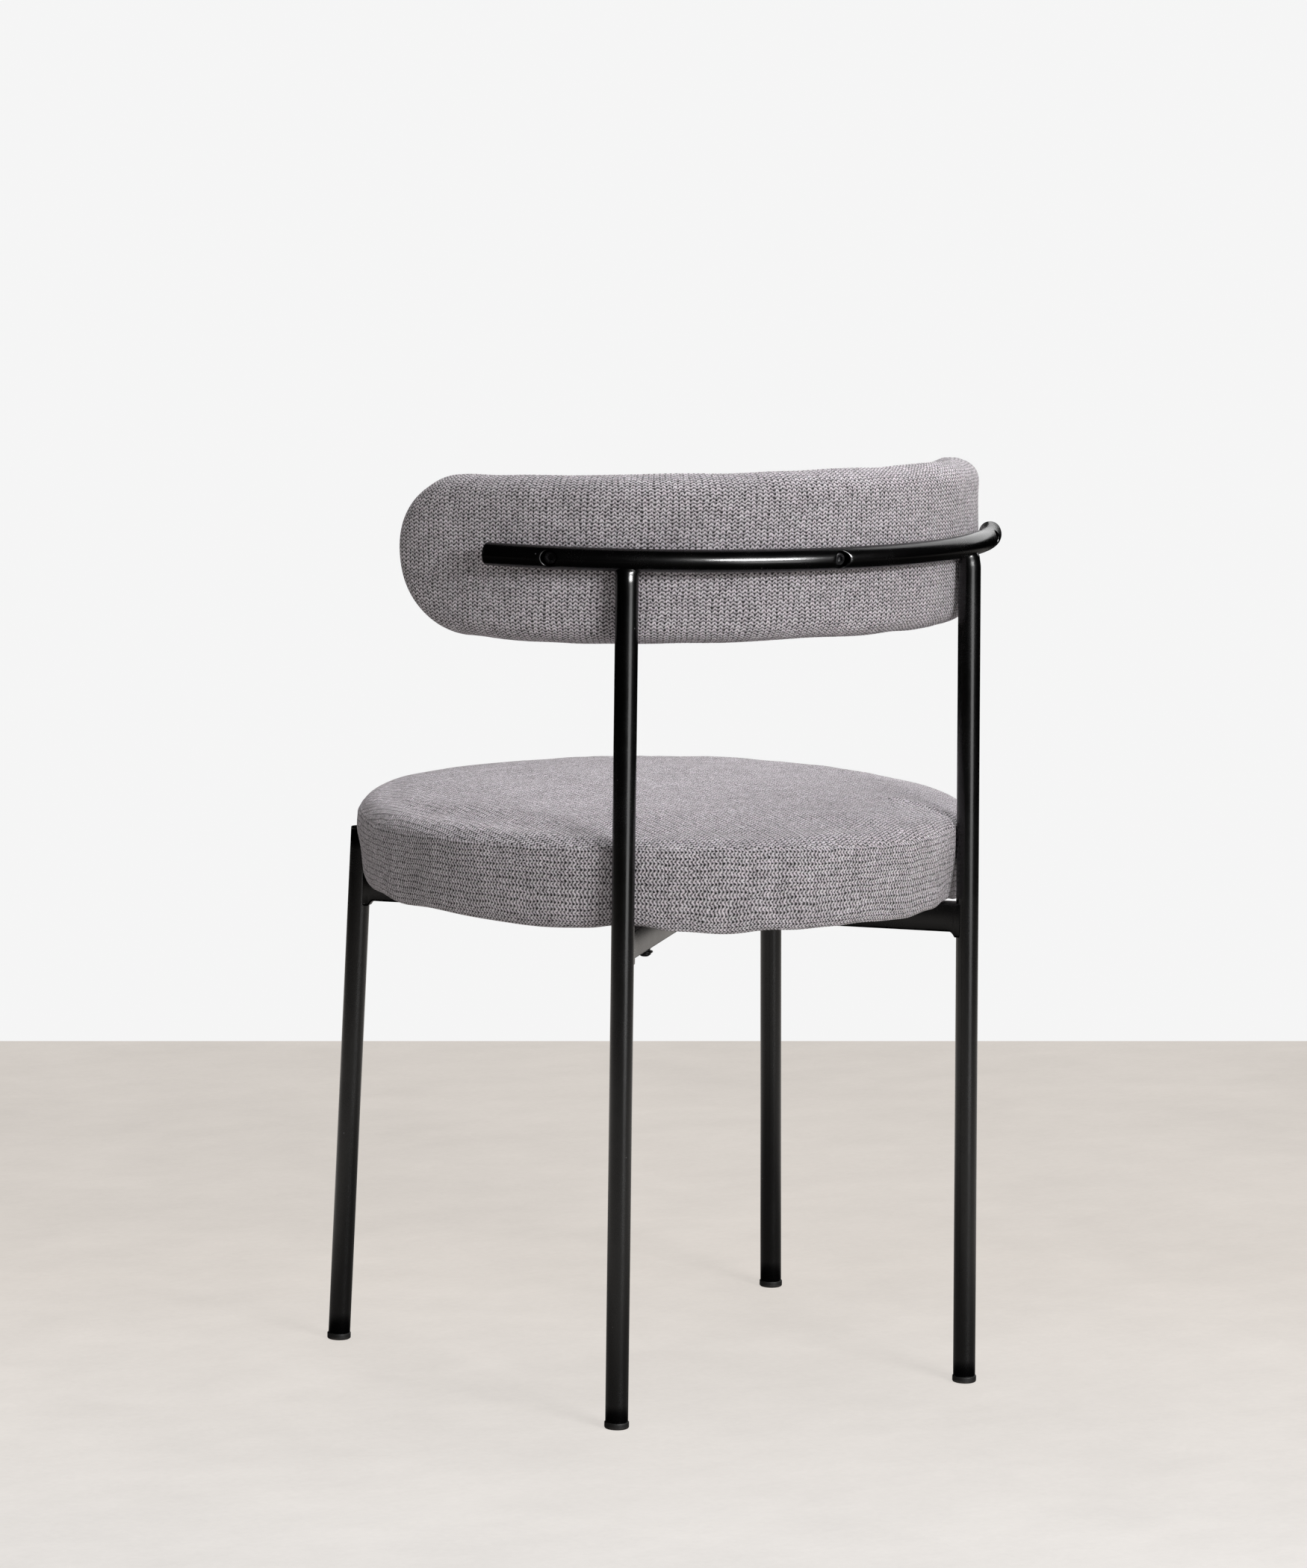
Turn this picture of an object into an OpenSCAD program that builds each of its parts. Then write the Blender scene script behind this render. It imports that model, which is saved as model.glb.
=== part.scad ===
// Dining chair: black round-tube steel frame, round padded seat, curved padded back.
// Millimetres. +Z is up, the floor is Z = 0, the sitter faces -Y, left and right are the sitter's.

/* [Parts] */
// Which piece to draw

/* [Steel tube frame] */
// Outside diameter of the legs and the back rail
tube_d = 19; // [16:0.5:25]
// Wall thickness of the round tube
tube_wall = 1.5; // [1.2:0.1:2.5]
// Rear leg centre on the floor, to each side
rear_foot_x = 174.4; // [150:0.1:200]
// Rear leg centre on the floor, towards the back
rear_foot_y = 219.1; // [190:0.1:240]
// Rear leg centre at the rail, to each side
rear_top_x = 169; // [140:0.1:190]
// Front leg centre on the floor, to each side
front_foot_x = 225.2; // [200:0.1:250]
// Front leg centre on the floor, along Y
front_foot_y = -165.6; // [-190:0.1:-140]
// Front leg centre at its top, to each side
front_top_x = 210.8; // [190:0.1:230]
// Front leg centre at its top, along Y
front_top_y = -160.7; // [-180:0.1:-140]
// Height of the capped top of the front legs
front_leg_top = 453.4; // [430:0.1:475]

/* [Back rail] */
// Height of the rail's centreline
rail_z = 718.8; // [690:0.1:750]
// Radius of the rail's centreline
rail_r = 293.2; // [270:0.1:320]
// Centre of the rail's arc along Y
rail_cy = -36.8; // [-60:0.1:-10]
// Half of the angle the rail sweeps, end caps included
rail_half_angle = 58.7; // [50:0.1:70]
// Angle of the outer back screws from the middle
back_screw_angle = 47.5; // [40:0.5:54]
// Height of the spacer sleeve that lifts each back screw's head off the rail's inner wall
back_head_lift = 5; // [0:0.5:6]
// Diameter of the access holes in the rail's outer wall
access_hole_d = 13.6; // [11:0.1:15]

/* [Cross tubes under the seat] */
// Width of the rectangular tube
bar_w = 15; // [12:0.5:20]
// Height of the rectangular tube
bar_h = 25; // [20:0.5:30]
// Wall thickness of the rectangular tube
bar_wall = 1.5; // [1.2:0.1:2]
// Height of the lower face of the cross tubes
bar_z = 389.5; // [370:0.1:405]
// Distance of the long cross tube's seat screws from the crossing
seat_screw_reach = 164; // [120:1:190]
// Distance of the two half tubes' seat screws from the crossing
half_screw_reach = 50; // [40:1:190]
// Leg length of the weld fillets under the tube ends
weld_leg = 4.5; // [3:0.1:6]

/* [Seat cushion] */
// Radius of the seat
seat_r = 264; // [240:0.5:275]
// Seat centre along Y
seat_cy = -1.9; // [-20:0.1:20]
// Underside of the upholstered seat
seat_bottom = 415.5; // [400:0.1:430]
// Height of the crown of the seat
seat_crown = 503; // [470:0.5:510]
// Height of the seam between the top panel and the side band
seam_z = 478; // [465:0.5:482]
// Radius of the dome of the top panel
dome_r = 2200; // [1500:10:3000]
// Radius of the upper edge
seat_edge_r = 17; // [12:0.5:24]
// Radius of the lower edge
seat_lower_r = 11; // [8:0.5:16]
// Radius of the plywood seat board
board_r = 246; // [220:0.5:250]
// Thickness of the plywood seat board
board_t = 12; // [9:0.5:18]
// Inner radius of the cloth turned under the board
turn_under_r = 218; // [205:0.5:230]

/* [Back pad] */
// Height of the back pad
pad_h = 136; // [110:1:160]
// Thickness of the back pad
pad_t = 46; // [35:0.5:60]
// Half angle of the curved part, up to where the round ends start
pad_half_angle = 66; // [55:0.5:75]
// Radius of the pad's long edges
pad_edge_r = 19; // [10:0.5:22]
// Thickness of the curved plywood shell
shell_t = 8; // [6:0.5:12]
// Height of the curved plywood shell
shell_h = 104; // [80:1:120]
// Depth of the shell's middle from the pad's rear face
shell_depth = 21; // [14:0.5:28]

/* [Upholstery and fasteners] */
// Thickness of the knitted cover cloth
cloth_t = 2.5; // [1.5:0.1:3]
// Thread diameter of the screws
screw_d = 6; // [5:1:8]
// Diameter of the foot glides
glide_d = 20.6; // [19:0.1:24]
// Height of a foot glide below the tube
glide_h = 5.5; // [4:0.1:8]

/* [Hidden] */
$fn = 96;

gap = 0.3;                       // air between neighbouring curved faces
tube_r = tube_d / 2;
bore_r = tube_r - tube_wall;
cap_t = 1.8;                     // welded disc that closes a tube end
tube_seam = 37;                  // turn of a leg tube's long seam
rear_top_y = rail_cy + sqrt(rail_r * rail_r - rear_top_x * rear_top_x);
rear_foot = [rear_foot_x, rear_foot_y, 0];
rear_top = [rear_top_x, rear_top_y, rail_z];
front_foot = [front_foot_x, front_foot_y, 0];
front_top = [front_top_x, front_top_y, front_leg_top];

// where the leg centrelines pass the middle of the cross tubes
bar_mid = bar_z + bar_h / 2;
rear_at_bar = rear_foot + (rear_top - rear_foot) * bar_mid / rail_z;
front_at_bar = front_foot + (front_top - front_foot) * bar_mid / front_leg_top;
bar_angle = atan2(rear_at_bar[1] - front_at_bar[1], rear_at_bar[0] + front_at_bar[0]);
cross_y = rear_at_bar[1] - rear_at_bar[0] * tan(bar_angle);
rear_reach = rear_at_bar[0] / cos(bar_angle);
front_reach = front_at_bar[0] / cos(bar_angle);

board_z = seat_bottom + cloth_t;
board_top = board_z + board_t;
dust_t = 1;
washer_t = 1.2;
spacer_t = 3.2;                          // rubber spacer between washer and cross tube
head_top = bar_z - spacer_t - washer_t;
nut_flange_r = 9.5;
nut_flange_t = 1.2;
nut_barrel_r = 4.2;
screw_r = screw_d / 2;
clear_r = screw_r + gap;

pad_out = rail_r - tube_r - gap;         // rear face of the pad, just clear of the rail
pad_in = pad_out - pad_t;
pad_mid = (pad_in + pad_out) / 2;
shell_mid = pad_out - shell_depth;
shell_in = shell_mid - shell_t / 2;
shell_out = shell_mid + shell_t / 2;
back_angles = [-back_screw_angle, 0, back_screw_angle];

steel = [0.06, 0.06, 0.065];
zinc = [0.62, 0.63, 0.65];
plastic = [0.05, 0.05, 0.05];
cloth = [0.55, 0.52, 0.55];
foam = [0.93, 0.89, 0.72];
ply = [0.80, 0.65, 0.45];
felt = [0.12, 0.12, 0.12];

// ---------- helpers ----------

// children stand on p0 and point at p1 along their own +Z, a tube's long seam turned off its slanted cut
module along(p0, p1) {
    v = p1 - p0;
    translate(p0) rotate([0, acos(v[2] / norm(v)), atan2(v[1], v[0])]) rotate([0, 0, tube_seam]) children();
}

// a rod of radius r on a leg's centreline, longer than the leg at both ends by extra
module leg_rod(p0, p1, r, extra = 0) {
    along(p0, p1) translate([0, 0, -extra]) cylinder(r = r, h = norm(p1 - p0) + 2 * extra);
}

// all four leg centrelines as rods of radius r
module leg_rods(r) {
    for (s = [0, 1]) mirror([s, 0, 0]) {
        leg_rod(rear_foot, rear_top, r);
        leg_rod(front_foot, front_top, r, 12);
    }
}

// solid or hollow ring segment on the rail's arc, swept to half_angle each side
module rail_arc(r, half_angle) {
    translate([0, rail_cy, rail_z]) rotate([0, 0, 90 - half_angle])
        rotate_extrude(angle = 2 * half_angle) translate([rail_r, 0]) circle(r);
}

// children in a frame on the rail: +Z outwards along the radius at angle a, origin on the arc's axis
module on_radius(a) {
    translate([0, rail_cy, rail_z]) rotate([0, 0, -a]) rotate([-90, -90, 0]) children();
}

// children in a frame on a cross tube: +X along the arm, origin at the crossing
module on_bar(a) {
    translate([0, cross_y, 0]) rotate([0, 0, a]) children();
}

module below(z) {
    translate([-500, -500, z - 400]) cube([1000, 1000, 400]);
}

// ---------- legs, rail, caps ----------

module rear_leg() {
    difference() {
        leg_rod(rear_foot, rear_top, tube_r);
        leg_rod(rear_foot, rear_top, bore_r, 5);
        below(glide_h);
        rail_arc(tube_r + gap, 50);
    }
}

module front_leg() {
    difference() {
        along(front_foot, front_top) difference() {
            cylinder(r = tube_r, h = norm(front_top - front_foot) - cap_t);
            translate([0, 0, -5]) cylinder(r = bore_r, h = norm(front_top - front_foot) + 10);
        }
        below(glide_h);
    }
}

module front_leg_cap() {
    along(front_foot, front_top) translate([0, 0, norm(front_top - front_foot)]) {
        translate([0, 0, -cap_t]) cylinder(r = tube_r, h = cap_t);
        translate([0, 0, -cap_t - 4]) cylinder(r = bore_r - gap, h = 5);
    }
}

rail_tube_angle = rail_half_angle - asin(cap_t / rail_r);

module back_rail() {
    difference() {
        rail_arc(tube_r, rail_tube_angle);
        rail_arc(bore_r, rail_tube_angle + 2);
        for (a = back_angles) on_radius(a) {
            translate([0, 0, rail_r]) cylinder(r = access_hole_d / 2, h = 20);
            translate([0, 0, rail_r - 20]) cylinder(r = clear_r, h = 20);
        }
    }
}

module rail_end_cap() {
    on_radius(rail_tube_angle) translate([0, 0, rail_r]) rotate([-90, 0, 0]) {
        cylinder(r = tube_r, h = cap_t);
        translate([0, 0, -4]) cylinder(r = bore_r - 0.6, h = 4);
    }
}

// ---------- cross tubes ----------

module bar_block(from_u, to_u, w = bar_w, drop = 0) {
    translate([from_u, -w / 2, bar_z + drop]) cube([to_u - from_u, w, bar_h - 2 * drop]);
}

// weld fillet under the arm's end, pointing to +X
module weld_fillet(reach) {
    u = reach - tube_r - gap;
    translate([0, 4, bar_z]) rotate([90, 0, 0]) linear_extrude(8)
        polygon([[u - weld_leg, 0.5], [u - weld_leg, 0], [u, -weld_leg], [u + 4, -weld_leg], [u + 4, 0.5]]);
}

module bar_screw_hole(u) {
    translate([u, 0, bar_z - 10]) cylinder(r = clear_r, h = bar_h + 20);
}

// one straight cross tube from -front_u to +rear_u, open inside, cut to the legs
module cross_tube(front_u, rear_u, screw_u) {
    difference() {
        union() {
            difference() {
                bar_block(-front_u, rear_u);
                bar_block(-front_u - 5, rear_u + 5, bar_w - 2 * bar_wall, bar_wall);
            }
            if (rear_u > bar_w) weld_fillet(rear_u);
            if (front_u > bar_w) rotate([0, 0, 180]) weld_fillet(front_u);
        }
        if (rear_u > bar_w) bar_screw_hole(screw_u);
        if (front_u > bar_w) bar_screw_hole(-screw_u);
    }
}

module cross_tube_long() {
    difference() {
        on_bar(bar_angle) cross_tube(front_reach, rear_reach, seat_screw_reach);
        leg_rods(tube_r + gap);
    }
}

module cross_tube_half(front_u, rear_u) {
    difference() {
        on_bar(180 - bar_angle) cross_tube(front_u, rear_u, half_screw_reach);
        leg_rods(tube_r + gap);
        on_bar(bar_angle) bar_block(-60, 60, bar_w, -1);
    }
}

// ---------- foot glides ----------

module foot_glide(foot, top) {
    edge = 1.8;
    difference() {
        translate([foot[0], foot[1], 0]) rotate_extrude() {
            translate([0, edge]) square([glide_d / 2, glide_h - edge]);
            square([glide_d / 2 - edge, glide_h]);
            translate([glide_d / 2 - edge, edge]) circle(edge);
        }
        translate([foot[0], foot[1], -5]) cylinder(r = 3, h = 6);
    }
    difference() {
        along(foot, top) cylinder(r = bore_r - gap, h = 24);
        below(glide_h - 1);
    }
}

// ---------- seat ----------

// half section of the cushion, shrunk inwards by o
module seat_section(o, bottom) {
    r = seat_r - o;
    re = seat_edge_r - o;
    rl = max(seat_lower_r - o, 4);
    dome = dome_r - o;
    dome_z = seat_crown - dome_r;
    edge_z = dome_z + sqrt((dome - re) * (dome - re) - (r - re) * (r - re));
    touch_x = (r - re) * dome / (dome - re);
    intersection() {
        translate([0, dome_z]) circle(dome, $fn = 360);
        translate([0, bottom]) square([touch_x, 200]);
    }
    translate([r - re, edge_z]) circle(re);
    translate([0, bottom + rl]) square([r, edge_z - bottom - rl]);
    translate([0, bottom]) square([r - rl, 40]);
    translate([r - rl, bottom + rl]) circle(rl);
}

module seat_form(o, bottom) {
    translate([0, seat_cy, 0]) rotate_extrude() intersection() {
        seat_section(o, bottom);
        translate([0, bottom - 1]) square([seat_r + 10, 200]);
    }
}

// the cover: a cloth skin over the foam, pressed in where the legs touch it
module seat_skin() {
    difference() {
        seat_form(0, seat_bottom);
        leg_rods(tube_r + gap);
        difference() {
            seat_form(cloth_t, seat_bottom + cloth_t);
            leg_rods(tube_r + gap + cloth_t);
        }
        translate([0, seat_cy, seat_bottom - 10]) cylinder(r = turn_under_r, h = 20);
    }
}

module seat_top_cover() {
    difference() {
        seat_skin();
        below(seam_z);
    }
}

module seat_side_cover() {
    intersection() {
        seat_skin();
        below(seam_z);
    }
}

module seat_foam() {
    difference() {
        seat_form(cloth_t + gap, board_top);
        leg_rods(tube_r + 2 * gap + cloth_t);
    }
}

// the four seat screw axes
module at_seat_screws() {
    for (s = [-1, 1]) {
        on_bar(bar_angle) translate([s * seat_screw_reach, 0, 0]) children();
        on_bar(180 - bar_angle) translate([s * half_screw_reach, 0, 0]) children();
    }
}

module seat_board() {
    difference() {
        translate([0, seat_cy, board_z]) cylinder(r = board_r, h = board_t);
        at_seat_screws() {
            translate([0, 0, board_z - 5]) cylinder(r = nut_barrel_r + gap, h = board_t + 10);
            translate([0, 0, board_top - nut_flange_t - gap]) cylinder(r = nut_flange_r + gap, h = 5);
        }
    }
}

module seat_dust_cover() {
    difference() {
        translate([0, seat_cy, seat_bottom - dust_t]) cylinder(r = turn_under_r + 14, h = dust_t);
        at_seat_screws() translate([0, 0, seat_bottom - 10]) cylinder(r = clear_r + 1, h = 20);
    }
}

// wire staples that hold the turned-under cloth, crowns flat on the cloth
module seat_staples() {
    staple_r = turn_under_r + 20;
    for (i = [0:23]) translate([0, seat_cy, 0]) rotate([0, 0, i * 15 + 7.5])
        translate([staple_r, 0, seat_bottom]) {
            translate([-0.6, -5, -0.6]) cube([1.2, 10, 0.6]);
        }
}

module tee_nut(barrel_h) {
    difference() {
        union() {
            translate([0, 0, -nut_flange_t]) cylinder(r = nut_flange_r, h = nut_flange_t);
            translate([0, 0, -barrel_h]) cylinder(r = nut_barrel_r, h = barrel_h);
        }
        translate([0, 0, -barrel_h - 1]) cylinder(r = screw_r + 0.1, h = barrel_h + 2);
    }
}

module seat_tee_nuts() {
    at_seat_screws() translate([0, 0, board_top - gap]) tee_nut(9);
}

module seat_washers() {
    at_seat_screws() translate([0, 0, head_top]) difference() {
        union() {
            cylinder(r = 6.8, h = washer_t);
            cylinder(r = 4.6, h = washer_t + spacer_t);
        }
        translate([0, 0, -1]) cylinder(r = clear_r, h = 10);
    }
}

// button-head screw, head down, shank up to the tee nut
module seat_screw() {
    head_h = 3.3;
    translate([0, 0, head_top]) {
        difference() {
            intersection() {
                translate([0, 0, -head_h]) cylinder(r = 5.3, h = head_h);
                translate([0, 0, 3.2]) sphere(7);
            }
            translate([0, 0, -head_h - 1]) cylinder(r = 2.3, h = 3, $fn = 6);
        }
        translate([0, 0, -1]) cylinder(r = screw_r, h = 44.2);
    }
}

module seat_screws() {
    at_seat_screws() seat_screw();
}

// ---------- back pad ----------

// rectangle from r0 to r1 and 0 to half_h, its outer corners rounded by e
module pad_section(r0, r1, half_h, e) {
    if (e > 0) {
        translate([0, r0 + e]) square([half_h, r1 - r0 - 2 * e]);
        translate([0, r0]) square([half_h - e, r1 - r0]);
        for (r = [r0 + e, r1 - e]) translate([half_h - e, r]) intersection() {
            circle(e);
            translate([-1, -e - 1]) square([e + 2, 2 * e + 2]);
        }
    } else {
        translate([0, r0]) square([half_h, r1 - r0]);
    }
}

// curved slab between radii r0 and r1 with half-round ends, long edges rounded by e
module pad_form(r0, r1, half_h, e) {
    translate([0, rail_cy, rail_z]) rotate([0, 0, 90 - pad_half_angle])
        rotate_extrude(angle = 2 * pad_half_angle) for (s = [0, 1]) mirror([0, s])
            rotate(90) mirror([0, 1]) pad_section(r0, r1, half_h, e);
    for (s = [0, 1]) mirror([s, 0, 0]) on_radius(pad_half_angle)
        rotate_extrude(angle = 180) pad_section(r0, r1, half_h, e);
}

module pad_inside(o) {
    pad_form(pad_in + o, pad_out - o, pad_h / 2 - o, pad_edge_r - o);
}

module back_skin() {
    difference() {
        pad_form(pad_in, pad_out, pad_h / 2, pad_edge_r);
        pad_inside(cloth_t);
        for (a = back_angles) on_radius(a) translate([0, 0, pad_mid]) cylinder(r = clear_r + 0.2, h = 40);
    }
}

module back_cover_front() {
    intersection() {
        back_skin();
        pad_form(pad_in - 5, pad_mid, pad_h / 2 + 5, 0);
    }
}

module back_cover_rear() {
    intersection() {
        back_skin();
        pad_form(pad_mid, pad_out + 5, pad_h / 2 + 5, 0);
    }
}

module back_board() {
    difference() {
        pad_form(shell_in, shell_out, shell_h / 2, 0);
        for (a = back_angles) on_radius(a) {
            translate([0, 0, shell_in - 5]) cylinder(r = nut_barrel_r + gap, h = shell_t + 10);
            translate([0, 0, shell_in - 5]) cylinder(r = nut_flange_r + gap, h = 5 + nut_flange_t + 0.6);
        }
    }
}

module back_foam_front() {
    difference() {
        pad_inside(cloth_t + gap);
        pad_form(shell_out, pad_out + 5, pad_h / 2 + 5, 0);
        pad_form(shell_in - gap, shell_out + 1, shell_h / 2 + gap, 0);
        for (a = back_angles) on_radius(a) translate([0, 0, shell_in - 8]) cylinder(r = 5, h = 8);
    }
}

module back_foam_rear() {
    difference() {
        pad_inside(cloth_t + gap);
        pad_form(pad_in - 5, shell_out + gap, pad_h / 2 + 5, 0);
        for (a = back_angles) on_radius(a) translate([0, 0, shell_out - 2]) cylinder(r = 5, h = 40);
    }
}

// tee nuts, flanges towards the sitter, sunk into the front face of the shell
module back_tee_nuts() {
    for (a = back_angles) on_radius(a) translate([0, 0, shell_in + 0.4]) rotate([180, 0, 0]) tee_nut(7);
}

// socket-head screw: head inside the rail on a spacer sleeve, shank through pad and shell
module back_screw() {
    head_r = 5;
    head_h = 6;
    hex_r = 2.9;
    hex_depth = 3;
    sleeve_r = 4.3;
    sleeve_foot = rail_r - bore_r + 0.6;
    seat = sleeve_foot + back_head_lift;
    translate([0, 0, sleeve_foot]) cylinder(r = sleeve_r, h = back_head_lift + 0.5);
    difference() {
        translate([0, 0, seat]) cylinder(r = head_r, h = head_h);
        translate([0, 0, seat + head_h - hex_depth]) cylinder(r = hex_r, h = hex_depth + 2, $fn = 6);
    }
    translate([0, 0, shell_in - 3]) cylinder(r = screw_r, h = seat - shell_in + 4);
}

module back_screws() {
    for (a = back_angles) on_radius(a) back_screw();
}

// ---------- selection ----------

color(steel) rear_leg();  // rear_leg_left
color(steel) mirror([1, 0, 0]) rear_leg();  // rear_leg_right
color(steel) front_leg();  // front_leg_left
color(steel) mirror([1, 0, 0]) front_leg();  // front_leg_right
color(steel) back_rail();
color(steel) rail_end_cap();  // rail_end_cap_left
color(steel) mirror([1, 0, 0]) rail_end_cap();  // rail_end_cap_right
color(steel) front_leg_cap();  // front_leg_cap_left
color(steel) mirror([1, 0, 0]) front_leg_cap();  // front_leg_cap_right
color(steel) cross_tube_long();
color(steel) cross_tube_half(front_reach, 0);  // cross_tube_half_left
color(steel) cross_tube_half(0, rear_reach);  // cross_tube_half_right
color(plastic) foot_glide(rear_foot, rear_top);  // foot_glide_rear_left
color(plastic)  // foot_glide_rear_right
    mirror([1, 0, 0]) foot_glide(rear_foot, rear_top);
color(plastic) foot_glide(front_foot, front_top);  // foot_glide_front_left
color(plastic)  // foot_glide_front_right
    mirror([1, 0, 0]) foot_glide(front_foot, front_top);
color(ply) seat_board();
color(foam) seat_foam();
color(cloth) seat_top_cover();
color(cloth) seat_side_cover();
color(felt) seat_dust_cover();
color(zinc) seat_staples();
color(zinc) seat_tee_nuts();
color(steel) seat_washers();
color(steel) seat_screws();
color(ply) back_board();
color(foam) back_foam_front();
color(foam) back_foam_rear();
color(cloth) back_cover_front();
color(cloth) back_cover_rear();
color(zinc) back_tee_nuts();
color(steel) back_screws();
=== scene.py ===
"""Dining chair: welded steel tube frame, round crowned seat and curved back pad in chunky knit."""

import math

import bmesh
import bpy
import numpy as np
from mathutils import Matrix, Vector


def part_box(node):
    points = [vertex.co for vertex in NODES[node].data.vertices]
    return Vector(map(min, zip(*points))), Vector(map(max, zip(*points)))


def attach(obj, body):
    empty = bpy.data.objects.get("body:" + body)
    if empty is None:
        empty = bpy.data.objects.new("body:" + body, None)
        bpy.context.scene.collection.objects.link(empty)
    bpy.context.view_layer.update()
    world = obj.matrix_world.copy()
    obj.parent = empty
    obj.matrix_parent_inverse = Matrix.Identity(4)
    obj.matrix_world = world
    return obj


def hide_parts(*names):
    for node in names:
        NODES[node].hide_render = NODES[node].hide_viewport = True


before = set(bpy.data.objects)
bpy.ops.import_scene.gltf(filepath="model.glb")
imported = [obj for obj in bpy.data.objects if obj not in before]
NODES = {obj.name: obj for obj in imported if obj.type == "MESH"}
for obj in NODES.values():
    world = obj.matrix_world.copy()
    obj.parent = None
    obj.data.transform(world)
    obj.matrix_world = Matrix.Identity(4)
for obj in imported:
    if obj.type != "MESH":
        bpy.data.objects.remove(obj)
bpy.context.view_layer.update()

MM = 0.001

# ---------- sizes shared with the CAD source, in metres ----------
TUBE_R = 9.5 * MM
BORE_R = 8.0 * MM
RAIL_R = 293.2 * MM
RAIL_CY = -36.8 * MM
RAIL_HALF = math.radians(58.7)
HOLE_ANGLES = [math.radians(a) for a in (-47.5, 0.0, 47.5)]
HOLE_R = 6.8 * MM
CAP_T = 1.8 * MM
HEAD_LIFT = 5 * MM
PAD_GAP = 0.3 * MM
PAD_OUT = RAIL_R - TUBE_R - PAD_GAP
PAD_T = 46 * MM
PAD_HALF_H = 68 * MM
PAD_ANGLE = math.radians(66)
PAD_EDGE_R = 19 * MM
SEAT_CY = -1.9 * MM
SEAT_R = 264 * MM
SEAT_DOME_R, SEAT_EDGE_R, SEAT_LOW_R = 2200 * MM, 17 * MM, 11 * MM
BAR_W, BAR_H = 15 * MM, 25 * MM
WELD_LEG = 4.5 * MM
LONG_SCREW_REACH, HALF_SCREW_REACH = 164 * MM, 50 * MM
# leg centrelines, foot and top, for the sitter's left side
LEG_LINES = {
    "rear": (Vector((174.4, 219.1, 0.0)) * MM, Vector((169.0, 202.79, 718.8)) * MM),
    "front": (Vector((225.2, -165.6, 0.0)) * MM, Vector((210.8, -160.7, 453.4)) * MM),
}

# ---------- sizes of the looks ----------
# rolled lip round an access hole: its width, and what it gains along the rail
LIP, LIP_ALONG = 0.95 * MM, 2.3 * MM
# one stitch along a course of the knit, and the height of a course
STITCH, COURSE = 5.0 * MM, 3.2 * MM
CLOTH_FRAMES, CLOTH_PRESSURE = 20, 4.0


def middle_of(node):
    lo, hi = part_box(node)
    return (lo + hi) / 2


RAIL_Z = middle_of("back_rail").z
SEAM_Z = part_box("seat_top_cover")[0].z
CROWN_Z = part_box("seat_top_cover")[1].z
SEAT_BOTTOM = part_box("seat_side_cover")[0].z
BAR_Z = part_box("seat_washers")[1].z


# ---------- shader helpers ----------
def rgb(r, g, b):
    return (r, g, b, 1.0)


class Graph:
    """Short names for the nodes of one node tree."""

    def __init__(self, tree, end):
        self.tree = tree
        tree.nodes.clear()
        self.end = tree.nodes.new(end).inputs["Surface"]

    def put(self, socket, value):
        if isinstance(value, bpy.types.NodeSocket):
            self.tree.links.new(value, socket)
        elif value is not None:
            socket.default_value = value

    def node(self, kind, inputs, **props):
        n = self.tree.nodes.new("ShaderNode" + kind)
        for k, v in props.items():
            setattr(n, k, v)
        for k, v in inputs.items():
            if v is not None:
                self.put(n.inputs[k], v)
        return n

    def add(self, kind, out, inputs, **props):
        return self.node(kind, inputs, **props).outputs[out]

    def math(self, op, a, b=None, clamp=False):
        return self.add("Math", 0, {0: a, 1: b}, operation=op, use_clamp=clamp)

    def vmath(self, op, a, b=None, scale=None, out=0):
        return self.add("VectorMath", out, {0: a, 1: b, "Scale": scale}, operation=op)

    def where(self):
        return self.add("TexCoord", "Object", {})

    def split(self, vector):
        return self.node("SeparateXYZ", {0: vector}).outputs

    def noise(self, vector, scale, detail=2.0, rough=0.5, out=0):
        inputs = {"Vector": vector, "Scale": scale, "Detail": detail, "Roughness": rough}
        return self.add("TexNoise", out, inputs)

    def cells(self, vector, scale, randomness=1.0):
        inputs = {"Vector": vector, "Scale": scale, "Randomness": randomness}
        return self.add("TexVoronoi", "Distance", inputs)

    def blend(self, fac, a, b, kind="MIX"):
        return self.add("Mix", 2, {0: fac, 6: a, 7: b}, data_type="RGBA", blend_type=kind)

    def scaled(self, colour, value):
        """A colour made lighter or darker by a value."""
        return self.blend(1.0, colour, self.add("CombineXYZ", 0, {0: value, 1: value, 2: value}), "MULTIPLY")

    def remap(self, value, a, b, c=0.0, d=1.0, smooth=False):
        kind = "SMOOTHSTEP" if smooth else "LINEAR"
        return self.add("MapRange", 0, {0: value, 1: a, 2: b, 3: c, 4: d}, interpolation_type=kind)

    def bump(self, height, distance, strength=1.0):
        return self.add("Bump", 0, {"Height": height, "Distance": distance, "Strength": strength})

    def ray(self, kind):
        return self.add("LightPath", f"Is {kind} Ray", {})

    def either(self, fac, a, b):
        return self.add("MixShader", 0, {0: fac, 1: a, 2: b})


class Shader(Graph):
    """Graph of a new material that ends in one Principled shader."""

    def __init__(self, name):
        self.mat = bpy.data.materials.new(name)
        self.mat.use_nodes = True
        super().__init__(self.mat.node_tree, "ShaderNodeOutputMaterial")
        self.bsdf = self.node("BsdfPrincipled", {})
        self.put(self.end, self.bsdf.outputs[0])

    def set(self, **values):
        for k, v in values.items():
            self.put(self.bsdf.inputs[k.replace("_", " ")], v)
        return self.mat


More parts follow.
